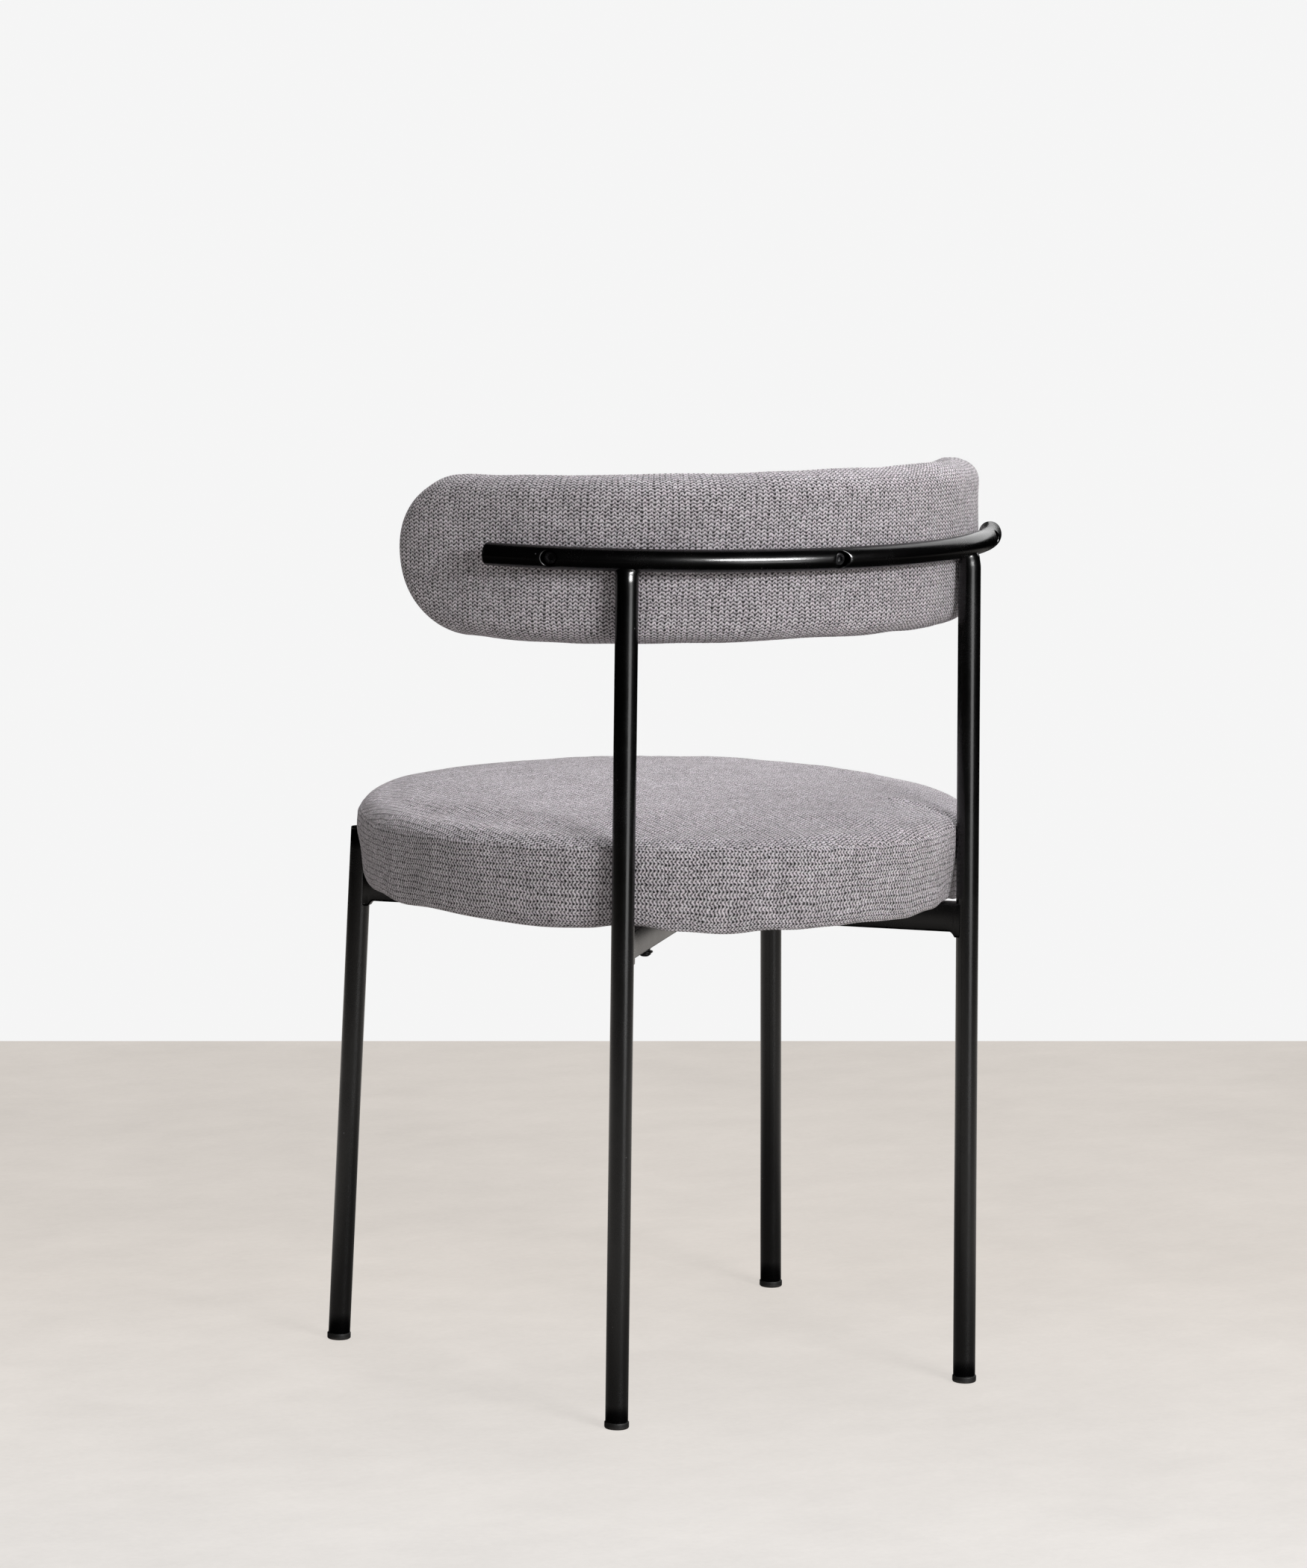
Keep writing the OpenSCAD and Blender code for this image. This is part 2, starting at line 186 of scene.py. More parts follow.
# ---------- materials ----------
def knit_cloth(name, light, dark):
    """Chunky loop knit: wavy courses that touch on their slopes and leave dark holes at their crests.

    The knit attribute counts stitches along the courses in x, and courses in y.
    """
    s = Shader(name)
    at = s.where()
    uv = s.add("Attribute", "Vector", {}, attribute_name="knit")
    drift = s.vmath("SUBTRACT", s.noise(at, 42.0, 2.0, 0.5, out=1), (0.5, 0.5, 0.5))
    jolt = s.vmath("SUBTRACT", s.noise(at, 330.0, 2.0, 0.6, out=1), (0.5, 0.5, 0.5))
    uv = s.vmath("ADD", uv, s.vmath("SCALE", drift, scale=1.1))
    uv = s.vmath("ADD", uv, s.vmath("SCALE", jolt, scale=0.55))
    u, v, _ = s.split(uv)
    turn = s.math("MULTIPLY", u, 2 * math.pi)
    arch, lean = s.math("SINE", turn), s.math("COSINE", turn)
    row = s.math("SUBTRACT", v, s.math("MULTIPLY", arch, 0.28))
    off = s.math("SUBTRACT", s.math("FRACT", row), 0.5)
    steep = s.math("MULTIPLY", lean, 1.6)
    steep = s.math("INVERSE_SQRT", s.math("ADD", s.math("MULTIPLY", steep, steep), 1.0))
    away = s.math("MULTIPLY", s.math("ABSOLUTE", off), steep)
    stitch = {0: s.math("FLOOR", s.math("MULTIPLY", u, 2.0)), 1: s.math("FLOOR", row), 2: 0.0}
    stitch = s.add("CombineXYZ", 0, stitch)
    chance = s.add("TexWhiteNoise", "Value", {"Vector": stitch}, noise_dimensions="3D")
    fuzz = s.noise(at, 1300.0, 3.0, 0.7)
    ragged = s.math("ADD", away, s.remap(fuzz, 0.3, 0.7, 0.055, -0.055))
    yarn = s.remap(ragged, 0.0, 0.40, 1.0, 0.0, smooth=True)
    ply = s.math("SINE", s.math("ADD", s.math("MULTIPLY", u, 18.0), s.math("MULTIPLY", off, 9.0)))
    height = s.math("ADD", yarn, s.math("MULTIPLY", fuzz, 0.35))
    height = s.math("ADD", height, s.math("MULTIPLY", chance, 0.20))
    shade = s.math("ADD", s.math("MULTIPLY", yarn, 0.92), s.remap(fuzz, 0.3, 0.7, -0.12, 0.16))
    shade = s.math("ADD", shade, s.remap(chance, 0.0, 1.0, -0.13, 0.13))
    # painted highlight: each loop's crest is lightened and its trough darkened, as light from above would
    # shade them
    shade = s.math("ADD", shade, s.math("MULTIPLY", arch, 0.12))
    shade = s.math("ADD", shade, s.math("MULTIPLY", ply, 0.06), clamp=True)
    shade = s.math("POWER", shade, 1.25)
    streak = s.noise(s.vmath("MULTIPLY", uv, (0.05, 0.16, 1.0)), 1.0, 3.0, 0.55)
    cloud = s.noise(at, 34.0, 3.0, 0.55)
    tone = s.math("ADD", s.remap(streak, 0.3, 0.7, 0.93, 1.07), s.remap(cloud, 0.3, 0.7, -0.06, 0.06))
    warmth = s.remap(s.noise(at, 190.0, 2.0, 0.5), 0.35, 0.65)
    tint = s.blend(warmth, rgb(1.015, 0.992, 1.010), rgb(0.985, 1.002, 1.000))
    return s.set(
        Base_Color=s.scaled(s.blend(1.0, s.blend(shade, dark, light), tint, "MULTIPLY"), tone),
        Roughness=s.remap(yarn, 0.0, 1.0, 0.98, 0.86),
        Specular_IOR_Level=0.2,
        Sheen_Weight=0.16,
        Sheen_Roughness=0.5,
        Normal=s.bump(height, 0.0010, 0.8),
    )


def powder_coat(name):
    """Fine orange-peel black coat with a little dust."""
    s = Shader(name)
    at = s.where()
    grain, wear = s.noise(at, 1700.0, 2.0, 0.6), s.noise(at, 22.0, 4.0, 0.6)
    pits = s.cells(at, 1250.0)
    speck = s.math("LESS_THAN", s.cells(at, 62.0), 0.030)
    height = s.math("ADD", s.math("MULTIPLY", grain, 0.6), s.math("MULTIPLY", pits, 0.7))
    tint = s.blend(s.remap(wear, 0.35, 0.7), rgb(0.0006, 0.0006, 0.0007), rgb(0.00102, 0.00102, 0.00119))
    tint = s.blend(s.math("MULTIPLY", speck, 0.5), tint, rgb(0.22, 0.22, 0.23))
    return s.set(
        Base_Color=tint,
        Roughness=s.math("ADD", s.remap(grain, 0.3, 0.7, 0.19, 0.27), s.remap(wear, 0.3, 0.7, -0.03, 0.04)),
        Specular_IOR_Level=0.5,
        Normal=s.bump(height, 0.00010, 0.20),
    )


def moulded_plastic(name):
    """Black foot plastic, dusty where it meets the floor."""
    s = Shader(name)
    at = s.where()
    fine = s.noise(at, 900.0, 3.0, 0.6)
    scuff = s.noise(s.vmath("MULTIPLY", at, (1.0, 1.0, 4.0)), 160.0, 4.0, 0.65)
    low = s.remap(s.split(at)[2], 0.0, 0.0035, 1.0, 0.0, smooth=True)
    dusty = s.math("MULTIPLY", low, s.remap(scuff, 0.4, 0.65))
    return s.set(
        Base_Color=s.blend(dusty, rgb(0.011, 0.0105, 0.010), rgb(0.075, 0.068, 0.062)),
        Roughness=s.remap(fine, 0.3, 0.7, 0.46, 0.62),
        Specular_IOR_Level=0.4,
        Normal=s.bump(s.math("ADD", fine, s.math("MULTIPLY", scuff, 0.6)), 0.00008, 0.5),
    )


def zinc_plate(name):
    s = Shader(name)
    at = s.where()
    brush = s.noise(s.vmath("MULTIPLY", at, (1.0, 1.0, 5.0)), 700.0, 3.0, 0.6)
    patch = s.noise(at, 150.0, 3.0, 0.6)
    return s.set(
        Base_Color=s.blend(s.remap(patch, 0.35, 0.7), rgb(0.62, 0.63, 0.65), rgb(0.465, 0.4725, 0.4875)),
        Metallic=1.0,
        Roughness=s.math("ADD", s.remap(brush, 0.3, 0.7, 0.26, 0.40), s.remap(patch, 0.3, 0.7, -0.03, 0.05)),
        Normal=s.bump(brush, 0.00004, 0.5),
    )


def black_oxide(name):
    s = Shader(name)
    at = s.where()
    fine, worn = s.noise(at, 1400.0, 3.0, 0.6), s.noise(at, 330.0, 4.0, 0.65)
    return s.set(
        Base_Color=s.blend(s.remap(worn, 0.55, 0.75), rgb(0.012, 0.012, 0.013), rgb(0.10, 0.10, 0.105)),
        Metallic=0.55,
        Roughness=s.remap(fine, 0.3, 0.7, 0.22, 0.36),
        Normal=s.bump(fine, 0.00003, 0.5),
    )


def plywood(name):
    s = Shader(name)
    at = s.where()
    layers = {"Vector": at, "Scale": 130.0, "Distortion": 0.6, "Detail": 2.0}
    layers = s.add("TexWave", 1, layers, bands_direction="Z")
    grain = s.noise(s.vmath("MULTIPLY", at, (1.0, 14.0, 1.0)), 28.0, 5.0, 0.6)
    colour = s.blend(s.remap(grain, 0.3, 0.7), rgb(0.52, 0.36, 0.20), rgb(0.33, 0.20, 0.10))
    return s.set(
        Base_Color=s.blend(s.math("MULTIPLY", layers, 0.35), colour, rgb(0.20, 0.12, 0.06)),
        Roughness=s.remap(grain, 0.3, 0.7, 0.55, 0.75),
        Normal=s.bump(grain, 0.0002, 0.4),
    )


def spun_felt(name):
    """Non-woven dust cloth: matted fibres with a spot-bond pattern."""
    s = Shader(name)
    at = s.where()
    fibre = s.noise(s.vmath("MULTIPLY", at, (1.0, 3.0, 1.0)), 520.0, 5.0, 0.75)
    bond = s.remap(s.cells(at, 420.0, 0.15), 0.10, 0.26, 0.0, 1.0, smooth=True)
    cloud = s.noise(at, 30.0, 3.0, 0.6)
    colour = s.blend(s.remap(fibre, 0.35, 0.7), rgb(0.010, 0.010, 0.010), rgb(0.034, 0.033, 0.032))
    return s.set(
        Base_Color=s.blend(s.remap(cloud, 0.35, 0.7, 0.0, 0.4), colour, rgb(0.020, 0.020, 0.019)),
        Roughness=s.remap(bond, 0.0, 1.0, 0.70, 0.95),
        Normal=s.bump(s.math("ADD", s.math("MULTIPLY", fibre, 0.5), bond), 0.00025, 0.7),
    )


# the finish that goes with each material slot of the record
FINISH = {
    "powder_coat": powder_coat("powder_coat_black"),
    "glide_plastic": moulded_plastic("glide_plastic_black"),
    "black_screw": black_oxide("black_oxide_steel"),
    "dust_cloth": spun_felt("dust_felt"),
    "knit_cloth": knit_cloth("knit_grey_mauve", rgb(0.96, 0.905, 0.955), rgb(0.020, 0.017, 0.019)),
}


# ---------- mesh helpers ----------
def put_mesh(name, verts, faces, slot, replaces=(), sharp=None):
    """New piece in the finish of its slot. Edges that turn more than sharp degrees stay hard."""
    me = bpy.data.meshes.new(name)
    me.from_pydata([tuple(map(float, v)) for v in verts], [], [tuple(map(int, f)) for f in faces])
    me.validate()
    bm = bmesh.new()
    bm.from_mesh(me)
    bmesh.ops.remove_doubles(bm, verts=bm.verts, dist=1e-7)
    bmesh.ops.recalc_face_normals(bm, faces=bm.faces)
    bm.normal_update()
    if sharp:
        for e in bm.edges:
            e.smooth = len(e.link_faces) != 2 or e.calc_face_angle(0) < math.radians(sharp)
    bm.to_mesh(me)
    bm.free()
    ob = bpy.data.objects.new(name, me)
    bpy.context.scene.collection.objects.link(ob)
    me.materials.append(FINISH[slot])
    me.polygons.foreach_set("use_smooth", [True] * len(me.polygons))
    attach(ob, "root")
    if replaces:
        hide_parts(*replaces)
    return ob


def unit(v):
    v = np.array(v, float)
    return v / np.linalg.norm(v)


def frame_of(direction, hint=(0, 0, 1)):
    """Two unit vectors square to a direction."""
    d, h = unit(direction), np.array(hint, float)
    if abs(d @ h) > 0.9:
        h = np.array([1.0, 0, 0])
    a = unit(h - (h @ d) * d)
    return a, np.cross(d, a)


def around_row(p, q, across=True):
    """Quads between two closed rows of point numbers. A row that repeats one point gives triangles."""
    faces = []
    for k in range(len(p)):
        m = (k + 1) % len(p)
        face = dict.fromkeys((p[k], q[k], q[m], p[m]) if across else (p[k], p[m], q[m], q[k]))
        if len(face) > 2:
            faces.append(tuple(face))
    return faces


def loft(rings):
    """Verts and faces of a skin over closed rings of points, with flat ends."""
    verts = np.concatenate(rings)
    rows = np.arange(len(verts)).reshape(len(rings), -1).tolist()
    faces = [f for p, q in zip(rows, rows[1:]) for f in around_row(p, q, False)]
    return verts, faces + [tuple(rows[0][::-1]), tuple(rows[-1])]


def lathe(profile, base, axis, n=48, hint=(0, 1, 0)):
    """Verts and faces of a profile [(radius, height)...] turned about an axis, closed at radius 0."""
    d, base = unit(axis), np.array(base, float)
    a, b = frame_of(d, hint)
    verts, rows = [], []
    for r, h in profile:
        start = len(verts)
        if r < 1e-9:
            rows.append([start] * n)
            verts.append(base + h * d)
            continue
        rows.append(list(range(start, start + n)))
        for k in range(n):
            t = 2 * math.pi * k / n
            verts.append(base + h * d + r * (math.cos(t) * a + math.sin(t) * b))
    return verts, [f for p, q in zip(rows, rows[1:]) for f in around_row(p, q)]


def turned(profile, base, axis, n=48, hint=(0, 1, 0)):
    """A lathe whose profile points may be (radius, height, 6) for a hexagon across that radius."""
    v, f = lathe([p[:2] for p in profile], base, axis, n, hint)
    d, base, k = np.array(axis, float), np.array(base, float), 0
    for p in profile:
        if len(p) > 2:
            for i in range(n):
                t = math.radians((360.0 * i / n) % 60 - 30)
                c = base + d * p[1]
                v[k + i] = c + (v[k + i] - c) * math.cos(math.radians(30)) / math.cos(t)
        k += 1 if p[0] < 1e-9 else n
    return v, f


def arc_pts(cx, cy, r, a0, a1, n):
    """Points (x, y) along an arc, with its angles in degrees."""
    turns = [math.radians(a0 + (a1 - a0) * k / n) for k in range(n + 1)]
    return [(cx + r * math.cos(t), cy + r * math.sin(t)) for t in turns]


def join_parts(parts):
    verts, faces = [], []
    for v, f in parts:
        k = len(verts)
        verts.extend(v)
        faces.extend(tuple(i + k for i in face) for face in f)
    return verts, faces


def waves(points, wavelength, seed, n=14, spread=0.35):
    """Smooth seeded noise, about -1 to 1, with features of about this wavelength."""
    r = np.random.default_rng(seed)
    d = r.normal(size=(n, 3))
    d /= np.linalg.norm(d, axis=1)[:, None]
    k = 2 * math.pi / (wavelength * np.exp(r.normal(size=n) * spread))
    ph = r.uniform(0, 2 * math.pi, n)
    return np.cos(points @ (d * k[:, None]).T + ph).sum(1) / math.sqrt(n / 2) * 0.6


def hump(x, width, centre=0.0):
    return np.exp(-(((x - centre) / width) ** 2))


def smoothstep(x, a, b):
    t = np.clip((x - a) / (b - a), 0, 1)
    return t * t * (3 - 2 * t)


def read_values(items, name, kind, width=1):
    data = np.empty(len(items) * width, kind)
    items.foreach_get(name, data)
    return data if width == 1 else data.reshape(-1, width)


def coords(me):
    return read_values(me.vertices, "co", float, 3)


def set_coords(me, co):
    me.vertices.foreach_set("co", np.asarray(co, np.float32).ravel())
    me.update()


# ---------- welded frame ----------
LEGS = {}
for end_, (foot_, top_) in LEG_LINES.items():
    for side_, sign_ in (("left", 1), ("right", -1)):
        LEGS[f"{end_}_{side_}"] = tuple(Vector((sign_ * p.x, p.y, p.z)) for p in (foot_, top_))


def on_leg(leg, z):
    a, b = LEGS[leg]
    return np.array(a + (b - a) * ((z - a.z) / (b.z - a.z)))


def rail_at(phi, theta=0.0, r=0.0):
    """Point at distance r from the rail's centreline, phi round the chair and theta round the tube."""
    rho = RAIL_R + r * math.cos(theta)
    return np.array([rho * math.sin(phi), RAIL_CY + rho * math.cos(phi), RAIL_Z + r * math.sin(theta)])


def rear_leg(side):
    """Round tube up to the rail's underside, where a ground weld draws it in and dives into the rail."""
    leg = "rear_" + side
    a, b = LEGS[leg]
    d = unit(b - a)
    top = on_leg(leg, RAIL_Z)
    phi = math.atan2(top[0], top[1] - RAIL_CY)
    e1, e2 = frame_of(d, (math.sin(phi), math.cos(phi), 0.0))
    n, foot, weld_rings = 72, 5.5 * MM, 22
    turns = 2 * math.pi * np.arange(n) / n
    circle = np.cos(turns)[:, None] * e1 + np.sin(turns)[:, None] * e2
    heights = [foot, 6.2 * MM, 20 * MM] + list(np.linspace(50 * MM, 660 * MM, 24))
    rings = [on_leg(leg, z) + (TUBE_R - (0.4 * MM if z == foot else 0)) * circle for z in heights]
    front = np.abs(np.cos(turns))
    for k in range(weld_rings):
        h = (-22 + 18.5 * (k / (weld_rings - 1)) ** 0.8) * MM
        draw = 1.1 * smoothstep(h, -19 * MM, -9 * MM) + 2.4 * smoothstep(h, -10.5 * MM, -3.5 * MM)
        flare = 0.9 * smoothstep(h, -13.5 * MM, -8.5 * MM) * (1 - front) ** 2
        rings.append(top + (TUBE_R + (flare - draw * front) * MM)[:, None] * circle + d * h / d[2])
    put_mesh(f"rear_leg_{side}_tube", *loft(rings), "powder_coat", [f"rear_leg_{side}"], 50)


def front_leg(side):
    """Round tube under a welded disc cap; a fine line shows where the two were ground flush."""
    a, b = LEGS["front_" + side]
    d, length = (b - a).normalized(), (b - a).length
    low, under_cap, ground = 5.5 * MM / d.z, length - CAP_T, TUBE_R - 0.12 * MM
    prof = [(0, low), (TUBE_R - 0.4 * MM, low), (TUBE_R, low + 0.7 * MM)]
    prof += [(TUBE_R, low + (length - low) * k / 24) for k in range(1, 24)]
    prof += [(TUBE_R, under_cap - 0.35 * MM), (ground, under_cap - 0.1 * MM), (0, under_cap - 0.1 * MM)]
    put_mesh(f"front_leg_{side}_tube", *lathe(prof, a, d, 64), "powder_coat", [f"front_leg_{side}"], 50)
    e = 0.8 * MM
    prof = [(0, under_cap), (ground, under_cap), (TUBE_R, under_cap + 0.25 * MM)]
    prof += arc_pts(TUBE_R - e, length - e - 0.1 * MM, e, 0, 90, 5)
    prof += [(TUBE_R * 0.5, length - 0.04 * MM), (0, length)]
    put_mesh(f"front_leg_{side}_cap", *lathe(prof, a, d, 64), "powder_coat", [f"front_leg_cap_{side}"], 60)


def foot_glide(leg):
    """Moulded foot with a moat under it, and a plug up into the tube."""
    node = "foot_glide_" + leg
    f, (lo, hi) = middle_of(node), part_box(node)
    R, plug = (hi.x - lo.x) / 2, BORE_R - 0.4 * MM
    h, e, lip = 5.5 * MM, 1.5 * MM, 0.5 * MM
    prof = [(0, 0), (R * 0.62, 0), (R * 0.66, 0.35 * MM), (R * 0.70, 0)]
    prof += arc_pts(R - e, e, e, -90, 0, 6)
    prof += [(R, h - 0.9 * MM)] + arc_pts(R - lip, h - lip, lip, 0, 90, 4)
    prof += [(TUBE_R - 0.9 * MM, h), (plug, h + 0.2 * MM), (plug, h + 5 * MM), (0, h + 5 * MM)]
    put_mesh(f"glide_{leg}", *lathe(prof, (f.x, f.y, 0), (0, 0, 1), 56), "glide_plastic", [node], 55)


def drilled_tube():
    """Back rail: curved tube with a bore and three access holes with rolled, softly broken edges."""
    round_n, patch_n, patch_side = 48, 8, 9
    patch = 12.0 * MM
    half, w = RAIL_HALF - CAP_T / RAIL_R, patch / RAIL_R
    phis, marks = [], []
    stops = [-half] + [x for a in HOLE_ANGLES for x in (a - w, a + w)] + [half]
    for k, (p, q) in enumerate(zip(stops, stops[1:])):
        steps = patch_n if k % 2 else max(2, int((q - p) * RAIL_R / (3.5 * MM)))
        if k % 2:
            marks.append(len(phis))
        phis += list(p + (q - p) * np.arange(steps) / steps)
    phis.append(half)
    verts, faces, hole_rings, ends = [], [], [], []

    def ring_point(a, s, radius, r):
        """Angles (phi, theta) of a hole's point at turn s, on the tube's skin of radius r."""
        th = math.asin(radius * math.sin(s) / r)
        return a + math.asin(radius * math.cos(s) / (RAIL_R + r * math.cos(th))), th

    def new_row(points):
        verts.extend(points)
        return list(range(len(verts) - len(points), len(verts)))

    for r in (TUBE_R, BORE_R):
        outer = r == TUBE_R
        index, rings = {}, []
        for i in range(len(phis)):
            for j in range(round_n):
                if not (any(m < i < m + patch_n for m in marks) and min(j, round_n - j) < patch_side):
                    index[i, j] = len(verts)
                    verts.append(rail_at(phis[i], 2 * math.pi * j / round_n, r))
        for i in range(len(phis) - 1):
            for j in range(round_n):
                m = (j + 1) % round_n
                in_side = min(j + 0.5, round_n - j - 0.5) < patch_side
                if any(k <= i < k + patch_n for k in marks) and in_side:
                    continue
                quad = (index[i, j], index[i + 1, j], index[i + 1, m], index[i, m])
                faces.append(quad if outer else quad[::-1])
        for m, a in zip(marks, HOLE_ANGLES):
            loop = [(m + k, -patch_side) for k in range(patch_n)]
            loop += [(m + patch_n, k) for k in range(-patch_side, patch_side)]
            loop += [(m + patch_n - k, patch_side) for k in range(patch_n)]
            loop += [(m, patch_side - k) for k in range(2 * patch_side)]
            border = [(phis[i], 2 * math.pi * j / round_n) for i, j in loop]
            turn = [math.atan2(t * TUBE_R * 9.0 * MM / patch, (p - a) * RAIL_R) for p, t in border]
            lips = [LIP + LIP_ALONG * math.cos(s) ** 2 if outer else 0.0 for s in turn]
            rows = []
            for depth in range(6):
                share, row = (depth / 6) ** 1.3, []
                for (p, t), s, lip in zip(border, turn, lips):
                    ph, th = ring_point(a, s, HOLE_R + lip, r)
                    row.append(rail_at(ph + (p - ph) * share, th + (t - th) * share, r))
                rows.append(new_row(row))
            rows.append([index[i, j % round_n] for i, j in loop])
            if outer:
                axis = np.array([math.sin(a), math.cos(a), 0.0])
                for part, drop in ((0.62, 0.07), (0.32, 0.26), (0.12, 0.55), (0.0, 0.95)):
                    row = [ring_point(a, s, HOLE_R + part * lip, r) for s, lip in zip(turn, lips)]
                    rows.insert(0, new_row([rail_at(ph, th, r) - axis * drop * LIP for ph, th in row]))
            for p, q in zip(rows, rows[1:]):
                faces += around_row(p, q, False)
            rings.append(rows[0])
        hole_rings.append(rings)
        ends.append([[index[i, j] for j in range(round_n)] for i in (0, len(phis) - 1)])
    for p, q in list(zip(*hole_rings)) + list(zip(*ends)):
        faces += around_row(p, q, False)
    put_mesh("back_rail_tube", verts, faces, "powder_coat", ["back_rail"], 48)


def rail_end_cap(side, sign):
    half = RAIL_HALF - CAP_T / RAIL_R
    tangent = sign * np.array([math.cos(sign * half), -math.sin(sign * half), 0.0])
    e = 1.1 * MM
    prof = [(0, 0), (TUBE_R - 0.14 * MM, 0), (TUBE_R, 0.22 * MM)]
    prof += arc_pts(TUBE_R - e, CAP_T - e, e, 0, 90, 6)
    prof += [(TUBE_R * 0.5, CAP_T + 0.05 * MM), (0, CAP_T + 0.08 * MM)]
    disc = lathe(prof, rail_at(sign * half), tangent, 64)
    put_mesh(f"rail_{side}_end_cap", *disc, "powder_coat", [f"rail_end_cap_{side}"], 60)


# the X under the seat: where its tubes meet the legs, its crossing, and the way of each arm
FAR = {leg: on_leg(leg, BAR_Z + BAR_H / 2) for leg in LEGS}
LONG_BAR = ("front_right", "rear_left")
near_, far_ = (FAR[leg] for leg in LONG_BAR)
CROSS = near_ + (far_ - near_) * (0 - near_[0]) / (far_[0] - near_[0])
ARMS = {leg: unit((p - CROSS) * (1, 1, 0)) for leg, p in FAR.items()}


def bar_section(w, h, drop, r=1.9 * MM, n=4):
    """Rounded rectangle, bottom lowered by drop. Points are (across, up) about the tube's own bottom."""
    right, top, low = w / 2 - r, h - r, r - drop
    corners = ((right, top), (-right, top), (-right, low), (right, low))
    return [p for k, (x, y) in enumerate(corners) for p in arc_pts(x, y, r, 90 * k, 90 * k + 90, n)]


def cross_tube(name, node, p0, p1, weld_first):
    """One straight tube from p0 to the leg at p1. A weld fillet flares each end that meets a leg."""
    p0, p1 = p0 * (1, 1, 0), p1 * (1, 1, 0)
    length, d = np.linalg.norm(p1 - p0), unit(p1 - p0)
    across = np.array([-d[1], d[0], 0.0])

    def welded(u, sign):
        face = u + sign * TUBE_R
        out = [(face - sign * 4.2 * MM, WELD_LEG)]
        for t in np.arange(7) / 6:
            drop = WELD_LEG * (1 - math.sin(math.pi / 2 * t)) if t < 1 else 0.0
            out.append((face + sign * WELD_LEG * t, drop))
        return out

    left = welded(0.0, 1) if weld_first else [(0.0, 0.0)]
    right = welded(length, -1)
    clear = (max(s[0] for s in left) + 2 * MM, min(s[0] for s in right) - 2 * MM)
    plain = [(u, 0.0) for u in np.linspace(0, length, 26)[1:-1] if clear[0] < u < clear[1]]
    rings = []
    for u, drop in left + plain + right[::-1]:
        section = bar_section(BAR_W + drop * 0.35, BAR_H, drop)
        rings.append(np.array([p0 + d * u + across * x + np.array([0, 0, BAR_Z + y]) for x, y in section]))
    put_mesh(name, *loft(rings), "powder_coat", [node], 40)


def crossing_beads():
    """Short upright weld runs in the four corners of the X."""
    parts, n, bead = [], 18, 1.9 * MM
    order = ["rear_left", "front_left", "front_right", "rear_right"]
    for p, q in zip(order, order[1:] + order[:1]):
        half_turn = math.acos(np.clip(ARMS[p] @ ARMS[q], -1, 1)) / 2
        corner = CROSS + unit(ARMS[p] + ARMS[q]) * (BAR_W / 2 / math.sin(half_turn))
        prof = [(0, BAR_Z + 1.2 * MM)]
        for k in range(n + 1):
            height = BAR_Z + 1.6 * MM + (BAR_H - 3.2 * MM) * k / n
            prof.append((bead * (1 + 0.12 * math.sin(k * 2.4)), height))
        prof.append((0, BAR_Z + BAR_H - 1.2 * MM))
        parts.append(lathe(prof, (corner[0], corner[1], 0), (0, 0, 1), 12))
    put_mesh("cross_tube_welds", *join_parts(parts), "powder_coat")


for side_ in ("left", "right"):
    rear_leg(side_)
    front_leg(side_)
for leg_ in LEGS:
    foot_glide(leg_)
drilled_tube()
rail_end_cap("left", 1)
rail_end_cap("right", -1)
cross_tube("cross_tube_long_bar", "cross_tube_long", FAR["front_right"], FAR["rear_left"], True)
for half_, leg_ in (("left", "front_left"), ("right", "rear_right")):
    beside_ = CROSS + ARMS[leg_] * BAR_W * 0.4
    cross_tube(f"cross_tube_{half_}_arm", f"cross_tube_half_{half_}", beside_, FAR[leg_], False)
crossing_beads()


# ---------- screws and washers ----------
def seat_fasteners():
    """Button-head screws under the cross tubes, each through a flat washer with a spacer neck."""
    top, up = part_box("seat_screws")[1].z, (0, 0, 1)
    washers, screws = [], []
    low = BAR_Z - 4.4 * MM
    high, rim, c, neck = low + 1.2 * MM, 6.8 * MM, 0.25 * MM, 4.6 * MM
    under, hole = BAR_Z - 0.1 * MM, 3.3 * MM
    washer = [(hole, low), (rim - c * 1.6, low), (rim - 0.4 * c, low + 0.35 * c), (rim, low + c)]
    washer += [(rim, high - c * 0.5), (rim - c * 0.5, high), (neck + 0.2 * MM, high), (neck, high + 0.2 * MM)]
    washer += [(neck + 0.15 * MM, (high + BAR_Z) / 2), (neck, under), (hole, under), (hole, low)]
    head, R, ball = low - 3.3 * MM, 5.3 * MM, 7 * MM
    centre, hex_z = low + 3.2 * MM, head + 2.2 * MM
    screw = [(0, hex_z), (2.25 * MM, hex_z, 6), (2.3 * MM, head + 0.25 * MM, 6), (2.55 * MM, head, 6)]
    for k in range(9):
        h = head + 0.08 * MM + (low - head - 0.5 * MM) * (k / 8) ** 1.5
        screw.append((min(R, math.sqrt(max(ball**2 - (h - centre) ** 2, 0))), h))
    screw += [(R, low - 0.25 * MM), (R - 0.2 * MM, low), (3 * MM, low), (3 * MM, top - 0.5 * MM)]
    screw += [(2.5 * MM, top), (0, top)]
    for leg, arm in ARMS.items():
        p = (CROSS + arm * (LONG_SCREW_REACH if leg in LONG_BAR else HALF_SCREW_REACH)) * (1, 1, 0)
        washers.append(lathe(washer, p, up, 56))
        screws.append(turned(screw, p, up))
    put_mesh("seat_washer_set", *join_parts(washers), "black_screw", ["seat_washers"], 40)
    put_mesh("seat_screw_set", *join_parts(screws), "black_screw", ["seat_screws"], 35)


